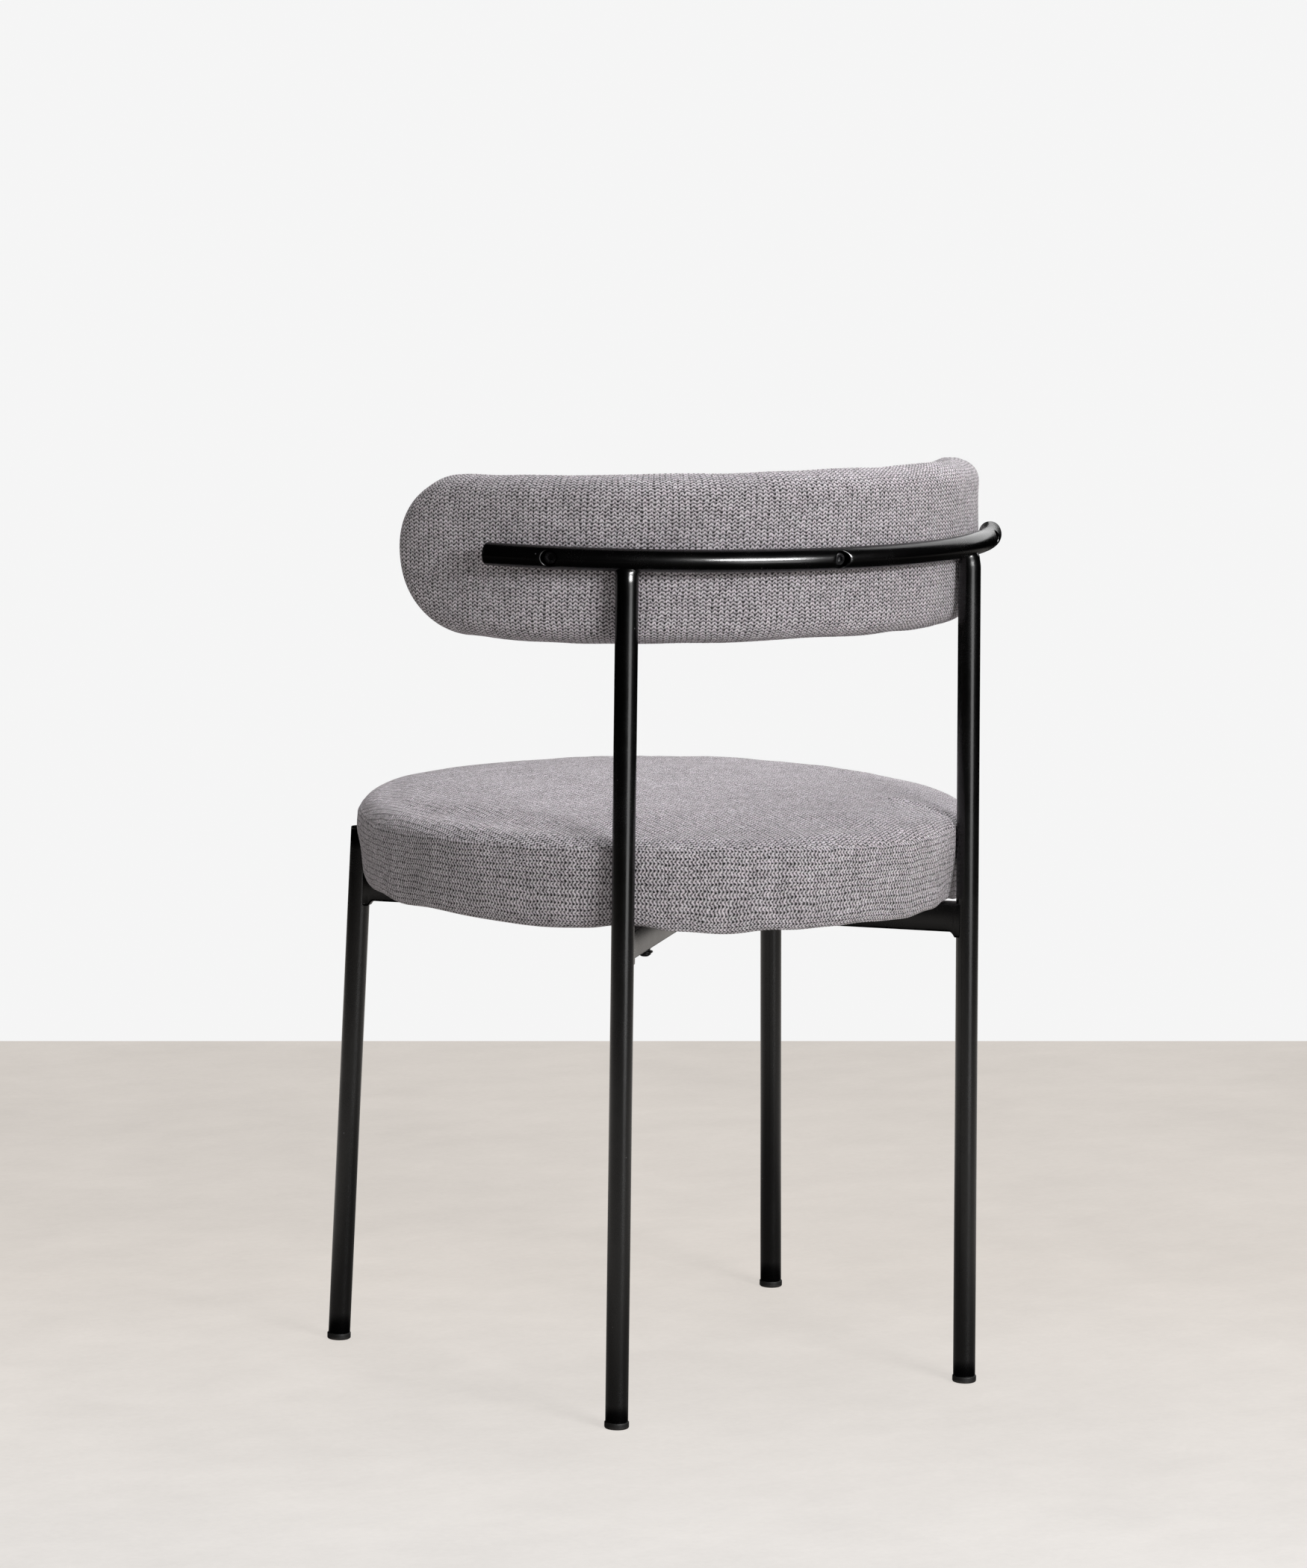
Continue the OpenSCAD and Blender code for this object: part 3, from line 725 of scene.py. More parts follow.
def back_fasteners():
    """Socket-head screws inside the rail, each lifted to its access hole by a sleeve."""
    sleeve = RAIL_R - BORE_R + 0.6 * MM
    seat, tip = sleeve + HEAD_LIFT, PAD_OUT - 28 * MM
    top, shank_r, sleeve_r = seat + 6 * MM, 3 * MM, 4.3 * MM
    R, c, key = 5 * MM, 0.4 * MM, 2.9 * MM
    prof = [(0, tip), (2.6 * MM, tip), (shank_r, tip + 0.5 * MM), (shank_r, sleeve), (sleeve_r, sleeve)]
    prof += [(sleeve_r, seat), (R - 0.2 * MM, seat), (R, seat + 0.2 * MM)]
    prof += [(R, top - c), (R - c * 0.3, top - c * 0.3), (R - c, top), (3.25 * MM, top, 6)]
    prof += [(key, top - 0.3 * MM, 6), (key, top - 3 * MM, 6), (0, top - 3.5 * MM)]
    parts = []
    for k, a in enumerate(HOLE_ANGLES):
        out, spin = (math.sin(a), math.cos(a), 0), k * 0.7 + 0.3
        hint = (math.sin(spin) * out[1], -math.sin(spin) * out[0], math.cos(spin))
        parts.append(turned(prof, (0, RAIL_CY, RAIL_Z), out, 48, hint))
    put_mesh("back_screw_set", *join_parts(parts), "black_screw", ["back_screws"], 35)


seat_fasteners()
back_fasteners()


# ---------- hidden parts carried over from the CAD ----------
def dress(material, nodes):
    for node in nodes:
        NODES[node].data.materials.clear()
        NODES[node].data.materials.append(material)


dress(plywood("birch_plywood"), ("seat_board", "back_board"))
dress(zinc_plate("zinc_plate"), ("seat_tee_nuts", "back_tee_nuts", "seat_staples"))


def dust_cover():
    """Non-woven cloth stapled under the seat. It is stretched, and sags a hair between its staples."""
    lo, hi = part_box("seat_dust_cover")
    R, n, rings, staples = (hi.x - lo.x) / 2, 144, 34, 24
    verts, faces, rims = [], [], []
    for lower in (True, False):
        rows = []
        for j in range(rings + 1):
            row = []
            for i in range(n if j else 1):
                t, rim = 2 * math.pi * i / n, j == rings
                r = j / rings * (1 - 0.0022 * (1 + math.sin(t * 11 + 0.4) * math.sin(t * 5)) if rim else 1)
                sag = 0.25 * r**6 * (0.5 - 0.5 * math.cos(staples * t + math.pi)) * (not rim)
                sag += 0.45 * (1 - r**2)
                z = lo.z + (0.55 - sag) * MM if lower else hi.z - (0.1 + sag * 0.4) * MM
                row.append(len(verts))
                verts.append((R * r * math.cos(t), SEAT_CY + R * r * math.sin(t), z))
            rows.append(row if j else row * n)
        for p, q in zip(rows, rows[1:]):
            faces += around_row(p, q)
        rims.append(rows[-1])
    faces += around_row(*rims, False)
    ob = put_mesh("seat_dust_cloth", verts, faces, "dust_cloth", ["seat_dust_cover"])


dust_cover()


# ---------- seat cushion ----------
class Profile:
    """Half outline of the seat: distance out and height by length of cloth from the crown."""

    def __init__(self):
        dome, edge_r, low_r = SEAT_DOME_R, SEAT_EDGE_R, SEAT_LOW_R
        dome_z = CROWN_Z - dome
        edge_z = dome_z + math.sqrt((dome - edge_r) ** 2 - (SEAT_R - edge_r) ** 2)
        a0 = math.degrees(math.atan2(edge_z - dome_z, SEAT_R - edge_r))
        pts = arc_pts(0, dome_z, dome, 90, a0, 160)
        pts += arc_pts(SEAT_R - edge_r, edge_z, edge_r, a0, 0, 24)[1:]
        pts += [(SEAT_R, edge_z + (SEAT_BOTTOM + low_r - edge_z) * k / 30) for k in range(1, 31)]
        pts += arc_pts(SEAT_R - low_r, SEAT_BOTTOM + low_r, low_r, 0, -90, 14)[1:]
        pts += [((SEAT_R - low_r) * (1 - k / 40), SEAT_BOTTOM) for k in range(1, 41)]
        self.pts = np.array(pts)
        self.s = np.concatenate([[0], np.cumsum(np.linalg.norm(np.diff(self.pts, axis=0), axis=1))])
        z = self.pts[:, 1]
        k = np.where((z < SEAM_Z) & (self.s > 0.2))[0][0]
        f = (z[k - 1] - SEAM_Z) / (z[k - 1] - z[k])
        self.seam = self.s[k - 1] + f * (self.s[k] - self.s[k - 1])
        self.low = self.s[np.argmin(np.abs(z - (SEAT_BOTTOM + low_r)) + 9 * (self.s < self.seam))]
        self.under = self.s[np.where(z <= SEAT_BOTTOM + 1e-9)[0][0]]
        self.end = self.s[-1]

    def at(self, s):
        return np.interp(s, self.s, self.pts[:, 0]), np.interp(s, self.s, self.pts[:, 1])

    def outward(self, s):
        e = 0.4 * MM
        r1, z1 = self.at(np.minimum(s + e, self.end))
        r0, z0 = self.at(np.maximum(s - e, 0))
        tr, tz = r1 - r0, z1 - z0
        n = np.hypot(tr, tz)
        return -tz / n, tr / n


def disc_point(a, b):
    """Where a point of the square from -1 to 1 lies on the unit disc."""
    if max(abs(a), abs(b)) < 1e-12:
        return 0.0, 0.0
    if abs(a) > abs(b):
        r, t = a, math.pi / 4 * b / a
    else:
        r, t = b, math.pi / 2 - math.pi / 4 * a / b
    return r * math.cos(t), r * math.sin(t)


def grid_quads(index, columns, rows, *key):
    """Quads of a grid with its point numbers at index[*key, column, row]."""
    corners = ((0, 0), (1, 0), (1, 1), (0, 1))
    places = [(i, j) for i in range(columns) for j in range(rows)]
    return [tuple(index[(*key, i + a, j + b)] for a, b in corners) for i, j in places]


def disc_grid(n):
    """Square grid laid on a unit disc without a pole. Points, quads, and the rim in order."""
    pts, index = [], {}
    for i in range(n + 1):
        for j in range(n + 1):
            index[i, j] = len(pts)
            pts.append(disc_point(2 * i / n - 1, 2 * j / n - 1))
    rim = [index[n, j] for j in range(n)] + [index[n - k, n] for k in range(n)]
    rim += [index[0, n - k] for k in range(n)] + [index[k, 0] for k in range(n)]
    return np.array(pts), grid_quads(index, n, n), rim


PROFILE = Profile()
# how far the band's join stands round the seat from straight behind
JOIN_TURN = math.radians(94)
SEAT_GRID = 80
# start and end of the crease in the top
CREASE = (np.array([-0.118, 0.116]), np.array([-0.171, 0.209]))
# how far the seam stands above its nominal height in mm, by angle round the seat
SEAM_WANDER = [(-60, -1), (-20, -5), (-2, -6), (13, 0), (24, -1.5), (42, 2), (53, 3.5), (69, 4.6)]
SEAM_WANDER += [(84, 3), (98, 0), (112, -1), (127, 2.5), (150, 1), (210, 0), (260, 1)]
# how far the band bulges past its nominal outline in mm, by angle round the seat
BAND_BULGE = [(-110, 0.8), (-75, 1.6), (-45, 2.4), (-25, 2.4), (0, 1.2), (20, 0.5), (150, 0.5), (185, 0.8)]


def leg_lines():
    """Foot, direction and top height of each leg. A rear leg has no top that cloth could reach."""
    out = []
    for leg, (a, b) in LEGS.items():
        a, b = np.array(a), np.array(b)
        out.append((a, unit(b - a), b[2] if leg.startswith("front") else 9.0))
    return out


def press_in(co, centre, clear):
    """Moves cloth points away from the legs, with the soft dent a tube leaves."""
    co = co.copy()
    for a, d, top in leg_lines():
        w = co - a
        along = w @ d
        off = w - along[:, None] * d
        foot = a + along[:, None] * d
        inward = centre - foot
        inward[:, 2] = 0
        inward /= np.linalg.norm(inward, axis=1)[:, None]
        side_ = np.cross(inward, d)
        side_ /= np.linalg.norm(side_, axis=1)[:, None]
        t = np.einsum("ij,ij->i", off, side_)
        depth = np.einsum("ij,ij->i", off, inward)
        at = np.abs(t)
        knee = clear * 0.74
        dent = np.sqrt(np.maximum(clear**2 - np.minimum(at, knee) ** 2, 0))
        slope = math.sqrt(clear**2 - knee**2) - (at - knee) * 1.15
        need = np.where(at < knee, dent, slope) - np.maximum(co[:, 2] - top, 0) * 1.6
        push = need - depth
        ok = (push > 0) & (at < clear * 3) & (depth > -3.2 * clear) & (co[:, 2] < top + 0.02)
        co += inward * np.where(ok, push, 0)[:, None]
    return co


def seat_cushion():
    P, n = PROFILE, SEAT_GRID
    disc, quads, rim = disc_grid(n)
    edge_s = P.seam - 30 * MM
    rho = np.hypot(disc[:, 0], disc[:, 1])
    verts_s, verts_t = list(rho * edge_s), list(np.arctan2(disc[:, 1], disc[:, 0]))
    faces, region = list(quads), [0] * len(quads)
    rim_t = [verts_t[i] for i in rim]
    rows = [rim]
    fine = [-24, -18.6, -13.8, -9.6, -6.2, -3.8, -2.1, -0.9, 0.0, 0.9, 2.1, 3.8, 6.2, 9.6]
    steps = [P.seam + f * MM for f in fine]
    steps += list(np.linspace(P.seam + 14 * MM, P.low, 8)) + list(np.linspace(P.low, P.under, 5)[1:])
    steps += [P.under + k * MM for k in (5, 14, 30)]
    for s in steps:
        row = list(range(len(verts_s), len(verts_s) + len(rim)))
        verts_s += [s] * len(rim)
        verts_t += rim_t
        rows.append(row)
    for above, s, p, q in zip([edge_s] + steps, steps, rows, rows[1:]):
        faces += around_row(p, q)
        region += [0 if (above + s) / 2 < P.seam else 1] * len(p)
    # underside, hidden by the dust cloth
    below, ring = {}, dict(zip(rim, rows[-1]))
    for i in range(len(disc)):
        below[i] = ring.get(i, len(verts_s))
        if i not in ring:
            verts_s.append(P.end - rho[i] * (P.end - steps[-1]))
            verts_t.append(verts_t[i])
    faces += [tuple(below[i] for i in q)[::-1] for q in quads]
    region += [1] * len(quads)
    s, t = np.array(verts_s), np.array(verts_t)
    # the sewn line wanders: up over the back, down at the left by the join
    near = np.where(s < P.seam, smoothstep(s, P.seam - 45 * MM, P.seam), 1 - smoothstep(s, P.seam, P.low))
    on_outline = s - around(t, SEAM_WANDER) * MM * near
    r, z = P.at(on_outline)
    nr, nz = P.outward(on_outline)
    base = np.stack([r * np.cos(t), SEAT_CY + r * np.sin(t), z], 1)
    out = np.stack([nr * np.cos(t), nr * np.sin(t), nz], 1)
    free = 1 - smoothstep(s, P.low + 4 * MM, P.under)
    seam_hold = hump(s - P.seam, 3.2 * MM)
    shrink = 3.0 * MM * free * (1 - 0.75 * seam_hold)
    middle = np.array([0, SEAT_CY, 0.45])
    start = press_in(base - out * shrink[:, None], middle, TUBE_R + 1.6 * MM)
    me = cloth_mesh("seat_cushion", start, faces, region, {"cloth_s": s})
    ob = new_object("seat_cushion_cover", me)
    pins = np.clip(1 - free + 0.9 * seam_hold, 0, 1)
    swell(ob, pins, 6.5 * MM)
    co = coords(me)
    co = np.where((s > P.under - 1 * MM)[:, None], base, co)
    # keep the swollen shape centred on the outline, then add what use leaves: waves, crease, puckers
    co = centred(co, base, out, free > 0.5, 0.2 * MM, 2.2 * MM)
    crown = 1 - (np.hypot(base[:, 0], base[:, 1] - SEAT_CY) / SEAT_R) ** 2
    fullness = 1.6 * hump(crown, 0.16, 0.22) - 2.3 * smoothstep(crown, 0.35, 1.0)
    co[:, 2] += np.where(s < P.seam, fullness, 0) * MM
    wave = waves(co, 0.120, 3) * 0.9 + waves(co, 0.045, 4) * 0.32
    amp = np.where(s < P.seam, smoothstep(P.seam - s, 0, 0.03), 0.9) * free
    co += out * (wave * amp * MM)[:, None]
    # side band: drawn in a little towards the board, with slack between the staples
    down = np.clip((s - P.seam) / (P.low - P.seam), 0, 1.15)
    pull = -2.4 * MM * down**1.6 + 1.6 * MM * np.sin(np.pi * np.clip(down, 0, 1) ** 0.7)
    on_rim = np.stack([np.cos(t), np.sin(t), 0 * t], 1) * SEAT_R
    tuck = waves(on_rim, 0.055, 11) * 0.9 * MM
    side_w = np.where(s > P.seam, 1.0, 0.0) * (1 - smoothstep(s, P.low + 5 * MM, P.under))
    co[:, 0] += np.cos(t) * (pull + tuck * down**2) * side_w
    co[:, 1] += np.sin(t) * (pull + tuck * down**2) * side_w
    # the lower edge hangs a little between the cross tubes, and not where it lies on one
    bare = np.ones(len(co))
    for arm in ARMS.values():
        rel = co[:, :2] - CROSS[:2]
        beside = np.abs(rel @ np.array([-arm[1], arm[0]])) + (rel @ arm[:2] < 0)
        bare *= smoothstep(beside, BAR_W / 2 + 2 * MM, BAR_W / 2 + 26 * MM)
    hang = (4.3 + 1.3 * waves(on_rim, 0.075, 12)) * bare * MM
    lower = smoothstep(s, P.seam + 25 * MM, P.low + 6 * MM)
    lower = lower * (1 - smoothstep(s, P.under - 2 * MM, P.under + 14 * MM))
    co[:, 2] -= hang * lower
    # seam: a narrow valley between two soft rolls, puckered stitch by stitch
    along = t * SEAT_R
    x = (s - P.seam) / MM
    pucker = 1 + 0.30 * np.sin(along / (9.0 * MM) * 2 * math.pi + 2 * np.sin(along / 0.071))
    pucker = pucker + 0.2 * np.sin(along / (3.9 * MM))
    groove = -1.15 * hump(x, 1.2) + 0.4 * hump(np.abs(x), 3.0, 4.6) * pucker
    co += out * (groove * free * MM)[:, None]
    bulge = around(t, BAND_BULGE) * hump(x, 15.0, 14) * smoothstep(x, -5, 8)
    co += out * (bulge * free * MM)[:, None]
    # upright join of the side band
    w = ((t - math.pi / 2 + JOIN_TURN + math.pi) % (2 * math.pi) - math.pi) * SEAT_R / MM
    w = w + 1.2 * np.sin(x / 9)
    band = smoothstep(s, P.seam, P.seam + 2 * MM) * (1 - smoothstep(s, P.low, P.under))
    fold = -1.7 * hump(w, 1.7) + 0.9 * hump(w, 3.4, 5) + 0.5 * hump(w, 3.4, -5)
    co += out * (fold * band * MM)[:, None]
    # crease on the top, running to the rear right leg
    a, b = CREASE
    ab = (b - a) / np.linalg.norm(b - a)
    rel = co[:, :2] - a
    u = rel @ ab / np.linalg.norm(b - a)
    v = (rel @ np.array([-ab[1], ab[0]])) / MM + 2.0 * np.sin(u * 4.2)
    fade = smoothstep(u, -0.35, 0.45) * (1 - smoothstep(u, 1.12, 1.25))
    valley = -2.3 * hump(v, 3.6) + 1.4 * hump(v, 6, 8.5) + 0.9 * hump(v, 6, -9)
    co += out * (valley * fade * (s < P.seam) * MM)[:, None]
    co = press_in(co, middle, TUBE_R + 0.9 * MM)
    set_coords(me, co)

    me = subdivide(ob)
    co = press_in(coords(me), middle, TUBE_R + 0.5 * MM)
    flat = np.hypot(co[:, 0], co[:, 1] - SEAT_CY) < SEAT_R - 26 * MM
    co[:, 2] = np.where(flat, np.maximum(co[:, 2], SEAT_BOTTOM), co[:, 2])
    set_coords(me, off_bars(co))
    knit_seat(me)
    finish_cushion(ob, ["seat_foam", "seat_top_cover", "seat_side_cover"])


def around(t, stops):
    """Smooth value round the seat from (angle in degrees, value) stops."""
    a = np.array([p[0] for p in stops], float)
    v = np.array([p[1] for p in stops], float)
    a, v = np.concatenate([a - 360, a, a + 360]), np.tile(v, 3)
    k = np.arange(-180, 181, 1.0)
    line = np.interp(k, a, v)
    kernel = np.exp(-((np.arange(-20, 21) / 8.0) ** 2))
    line = np.convolve(np.concatenate([line[:-1]] * 3), kernel / kernel.sum(), "same")[360:721]
    return np.interp(np.degrees(t), k, line)


def centred(co, base, out, mask, offset, spread):
    """Keeps how a swollen shape differs from its outline, within spread, with the mean at offset."""
    d = np.einsum("ij,ij->i", co - base, out)
    want = np.clip(d - d[mask].mean(), -spread, spread) + offset
    return co + out * (np.where(mask, want, d) - d)[:, None]


def off_bars(co):
    """Lifts cloth that would touch the tops of the cross tubes."""
    co = co.copy()
    for arm in ARMS.values():
        rel = co[:, :2] - CROSS[:2]
        beside = np.abs(rel @ np.array([-arm[1], arm[0]]))
        on = (beside < BAR_W / 2 + 0.8 * MM) & (rel @ arm[:2] > 0)
        co[:, 2] = np.where(on, np.maximum(co[:, 2], BAR_Z + BAR_H + 0.3 * MM), co[:, 2])
    return co


def new_object(name, me):
    ob = bpy.data.objects.new(name, me)
    bpy.context.scene.collection.objects.link(ob)
    return ob


def cloth_mesh(name, verts, faces, region, values):
    """Mesh in knit, with a region number for each face and named values for each point."""
    me = bpy.data.meshes.new(name)
    me.from_pydata([tuple(map(float, v)) for v in verts], [], faces)
    for key, data in values.items():
        me.attributes.new(key, "FLOAT", "POINT").data.foreach_set("value", np.asarray(data, np.float32))
    for _ in range(max(region) + 1):
        me.materials.append(FINISH["knit_cloth"])
    me.polygons.foreach_set("material_index", region)
    return me


def swell(ob, pins, cap):
    """Cloth simulation with air pressure. The result is applied, and no point moves further than cap."""
    me = ob.data
    before = coords(me)
    group = ob.vertex_groups.new(name="held")
    for k in range(21):
        low, high = (k - 0.5) / 20, (k + 0.5) / 20
        ids = np.where((pins > low) & (pins <= high))[0]
        if k and len(ids):
            group.add([int(i) for i in ids], k / 20, "REPLACE")
    mod = ob.modifiers.new("cloth", "CLOTH")
    c = mod.settings
    c.quality = 6
    c.mass = 0.3
    c.tension_stiffness = c.compression_stiffness = 18
    c.shear_stiffness = 8
    c.bending_stiffness = 1.5
    c.tension_damping = c.compression_damping = c.shear_damping = 8
    c.air_damping = 2
    c.use_pressure = True
    c.uniform_pressure_force = CLOTH_PRESSURE
    c.effector_weights.gravity = 0
    c.vertex_group_mass = "held"
    c.pin_stiffness = 4
    mod.collision_settings.use_collision = False
    mod.point_cache.frame_start, mod.point_cache.frame_end = 1, CLOTH_FRAMES
    scene = bpy.context.scene
    scene.frame_start, scene.frame_end = 1, CLOTH_FRAMES
    for k in range(1, CLOTH_FRAMES + 1):
        scene.frame_set(k)
    dep = bpy.context.evaluated_depsgraph_get()
    after = coords(ob.evaluated_get(dep).data)
    ob.modifiers.remove(mod)
    scene.frame_set(1)
    move = after - before
    far = np.linalg.norm(move, axis=1)
    move *= (np.minimum(far, cap) / np.maximum(far, 1e-9))[:, None]
    set_coords(me, before + move)


def subdivide(ob):
    mod = ob.modifiers.new("sub", "SUBSURF")
    mod.levels = mod.render_levels = 1
    mod.boundary_smooth = "PRESERVE_CORNERS"
    dep = bpy.context.evaluated_depsgraph_get()
    finer = ob.evaluated_get(dep)
    me = bpy.data.meshes.new_from_object(finer, preserve_all_data_layers=True, depsgraph=dep)
    ob.modifiers.clear()
    old = ob.data
    ob.data = me
    bpy.data.meshes.remove(old)
    return me


def corner_verts(me):
    return read_values(me.loops, "vertex_index", np.int32)


def corner_values(me, name):
    return read_values(me.attributes[name].data, "value", np.float32)[corner_verts(me)].astype(float)


def corner_faces(me):
    """The face of each corner, and how many corners each face has."""
    count = read_values(me.polygons, "loop_total", np.int32)
    return np.repeat(np.arange(len(me.polygons)), count), count


def corner_regions(me, face):
    return read_values(me.polygons, "material_index", np.int32)[face]


def write_knit(me, u, v, w):
    data = np.stack([u, v, w], 1).astype(np.float32)
    me.attributes.new("knit", "FLOAT_VECTOR", "CORNER").data.foreach_set("vector", data.ravel())
    for name in ("cloth_s", "cloth_x", "cloth_y"):
        if name in me.attributes:
            me.attributes.remove(me.attributes[name])
    me.polygons.foreach_set("material_index", [0] * len(me.polygons))
    while len(me.materials) > 1:
        me.materials.pop()


def knit_seat(me):
    """Cloth coordinates. Courses run left to right on the top, and upright on the crosswise side band."""
    P = PROFILE
    face, count = corner_faces(me)
    co = coords(me)[corner_verts(me)]
    s = corner_values(me, "cloth_s")
    t = np.arctan2(co[:, 1] - SEAT_CY, co[:, 0])
    ut, vt = s * np.cos(t) / STITCH, s * np.sin(t) / COURSE
    # unwrap each face about its first corner, with the cut at the join
    turn = (math.pi / 2 - t - JOIN_TURN) % (2 * math.pi)
    first = np.concatenate([[0], np.cumsum(count)[:-1]])[face]
    turn = turn[first] + (turn - turn[first] + math.pi) % (2 * math.pi) - math.pi
    ub, vb = (s - P.seam) / STITCH + 0.3, turn * SEAT_R / COURSE
    top = corner_regions(me, face) == 0
    write_knit(me, np.where(top, ut, ub), np.where(top, vt, vb), np.where(top, 0.0, 1.0))


def finish_cushion(ob, nodes_):
    me = ob.data
    me.polygons.foreach_set("use_smooth", [True] * len(me.polygons))
    me.update()
    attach(ob, "root")
    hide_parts(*nodes_)


seat_cushion()


# ---------- back pad ----------
def pad_point(a, x, h, depth):
    """Point of the pad: arc angle a, length x past the arc's end, height h, depth from the rear face."""
    a, x, h, depth = np.broadcast_arrays(*[np.asarray(k, float) for k in (a, x, h, depth)])
    r = PAD_OUT - depth
    sign = np.sign(a)
    p = np.stack([np.sin(a) * r, RAIL_CY + np.cos(a) * r, RAIL_Z + h], -1)
    tang = np.stack([np.cos(a), -np.sin(a), 0 * a], -1)
    return p + tang * (sign * x)[..., None]


# pad angle in degrees, then how far its upper and lower edges stand above the plain outline in mm
PAD_LINES = [
    (-80, -7.5, -3.0),
    (-66, -7.0, -3.0),
    (-50, -3.0, -2.0),
    (-35, 0.5, -1.4),
    (-15, 1.8, -0.8),
    (2, 1.8, -0.4),
    (15, 0.8, -1.6),
    (30, -1.2, -3.4),
    (45, -2.4, -4.2),
    (58, -6.0, -5.2),
    (68, -7.6, -5.0),
    (80, -4.5, -3.5),
]


def back_pad():
    e = PAD_EDGE_R
    flat = PAD_HALF_H - e
    rows_n, cols = 20, 122
    half = rows_n // 2
    # flat outline region: straight middle and two half discs, quads throughout
    pts, index = [], {}
    for i in range(cols + 1):
        for j in range(rows_n + 1):
            index["m", i, j] = len(pts)
            pts.append((-PAD_ANGLE + 2 * PAD_ANGLE * i / cols, 0.0, -flat + 2 * flat * j / rows_n))
    for side_, at in ((1, cols), (-1, 0)):
        for i in range(1, half + 1):
            for j in range(rows_n + 1):
                x, y = disc_point(i / half, 2 * j / rows_n - 1)
                index[side_, i, j] = len(pts)
                pts.append((side_ * PAD_ANGLE, abs(x) * flat, y * flat))
        for j in range(rows_n + 1):
            index[side_, 0, j] = index["m", at, j]
    rear_faces = grid_quads(index, cols, rows_n, "m")
    for side_ in (1, -1):
        rear_faces += grid_quads(index, half, rows_n, side_)
    loop = [index["m", i, 0] for i in range(cols)] + [index[1, i, 0] for i in range(half)]
    loop += [index[1, half, j] for j in range(rows_n)] + [index[1, half - i, rows_n] for i in range(half)]
    loop += [index["m", cols - i, rows_n] for i in range(cols)] + [index[-1, i, rows_n] for i in range(half)]
    loop += [index[-1, half, rows_n - j] for j in range(rows_n)]
    loop += [index[-1, half - i, 0] for i in range(half)]
    pts = np.array(pts)
    n_flat = len(pts)
    lp = pts[loop]
    # outward direction of the outline, in the flat
    past = lp[:, 1] > 1e-9
    nh = np.where(past | (np.abs(np.abs(lp[:, 0]) - PAD_ANGLE) < 1e-9), lp[:, 2] / flat, np.sign(lp[:, 2]))
    nx = np.where(past, lp[:, 1] / flat, 0.0)
    norm = np.hypot(nx, nh)
    nx, nh = nx / norm, nh / norm

    # section round the edge: (out, depth, cloth length), from the rear face to the front face
    arc = math.pi / 2 * e
    sec = [(e * math.sin(k), e - e * math.cos(k), e * k) for k in np.linspace(0, math.pi / 2, 9)[1:]]
    flat_t = PAD_T - 2 * e
    for f in (0.28, 0.40, 0.46, 0.50, 0.54, 0.60, 0.72):
        sec.append((e, e + flat_t * f, arc + flat_t * f))
    for k in np.linspace(0, math.pi / 2, 9)[:-1]:
        sec.append((e * math.cos(k), PAD_T - e + e * math.sin(k), arc + flat_t + e * k))
    seam_len = arc + flat_t / 2

    ang, x, h, depth = [list(v) for v in (pts[:, 0], pts[:, 1], pts[:, 2], np.zeros(n_flat))]
    cu = [math.copysign(abs(a) * PAD_OUT + b, a) for a, b in zip(pts[:, 0], pts[:, 1])]
    cv = list(pts[:, 2])
    cs = [0.0] * n_flat
    faces, region = list(rear_faces), [0] * len(rear_faces)
    previous, n = loop, len(loop)
    sgn = np.where(lp[:, 0] >= 0, 1.0, -1.0)
    run = np.sign(lp[:, 0]) * (np.abs(lp[:, 0]) * PAD_OUT + lp[:, 1])
    prev_len = 0.0
    for out_, dep, ln in sec:
        row = list(range(len(ang), len(ang) + n))
        ang += list(lp[:, 0])
        x += list(lp[:, 1] + nx * out_)
        h += list(lp[:, 2] + nh * out_)
        depth += [dep] * n
        cu += list(run + sgn * nx * ln)
        cv += list(lp[:, 2] + nh * ln)
        cs += [ln] * n
        faces += around_row(previous, row, False)
        region += [0 if (ln + prev_len) / 2 < seam_len else 1] * n
        previous, prev_len = row, ln
    # front face, mirrored grid joined to the last ring
    total = 2 * arc + flat_t
    where = {i: k for k, i in enumerate(loop)}
    for i in range(n_flat):
        ang.append(pts[i, 0])
        x.append(pts[i, 1])
        h.append(pts[i, 2])
        depth.append(PAD_T)
        cs.append(total)
        if i in where:
            k = where[i]
            cu.append(run[k] + sgn[k] * nx[k] * total)
            cv.append(lp[k, 2] + nh[k] * total)
        else:
            cu.append(cu[i])
            cv.append(cv[i])
    first = len(ang) - n_flat
    faces += [tuple(first + i for i in f)[::-1] for f in rear_faces]
    faces += around_row(previous, [first + i for i in loop], False)
    region += [2] * len(rear_faces) + [1] * n
    ang, x, h, depth, cs = (np.array(k) for k in (ang, x, h, depth, cs))
    base = pad_point(ang, x, h, depth)
    # the real pad droops at its ends and stands fuller in its middle
    reach = np.degrees(ang) + np.sign(ang) * np.degrees(x / PAD_OUT)
    at, up, down = np.array(PAD_LINES).T
    share = h / (2 * PAD_HALF_H) + 0.5
    base[:, 2] += (np.interp(reach, at, up) * share + np.interp(reach, at, down) * (1 - share)) * MM

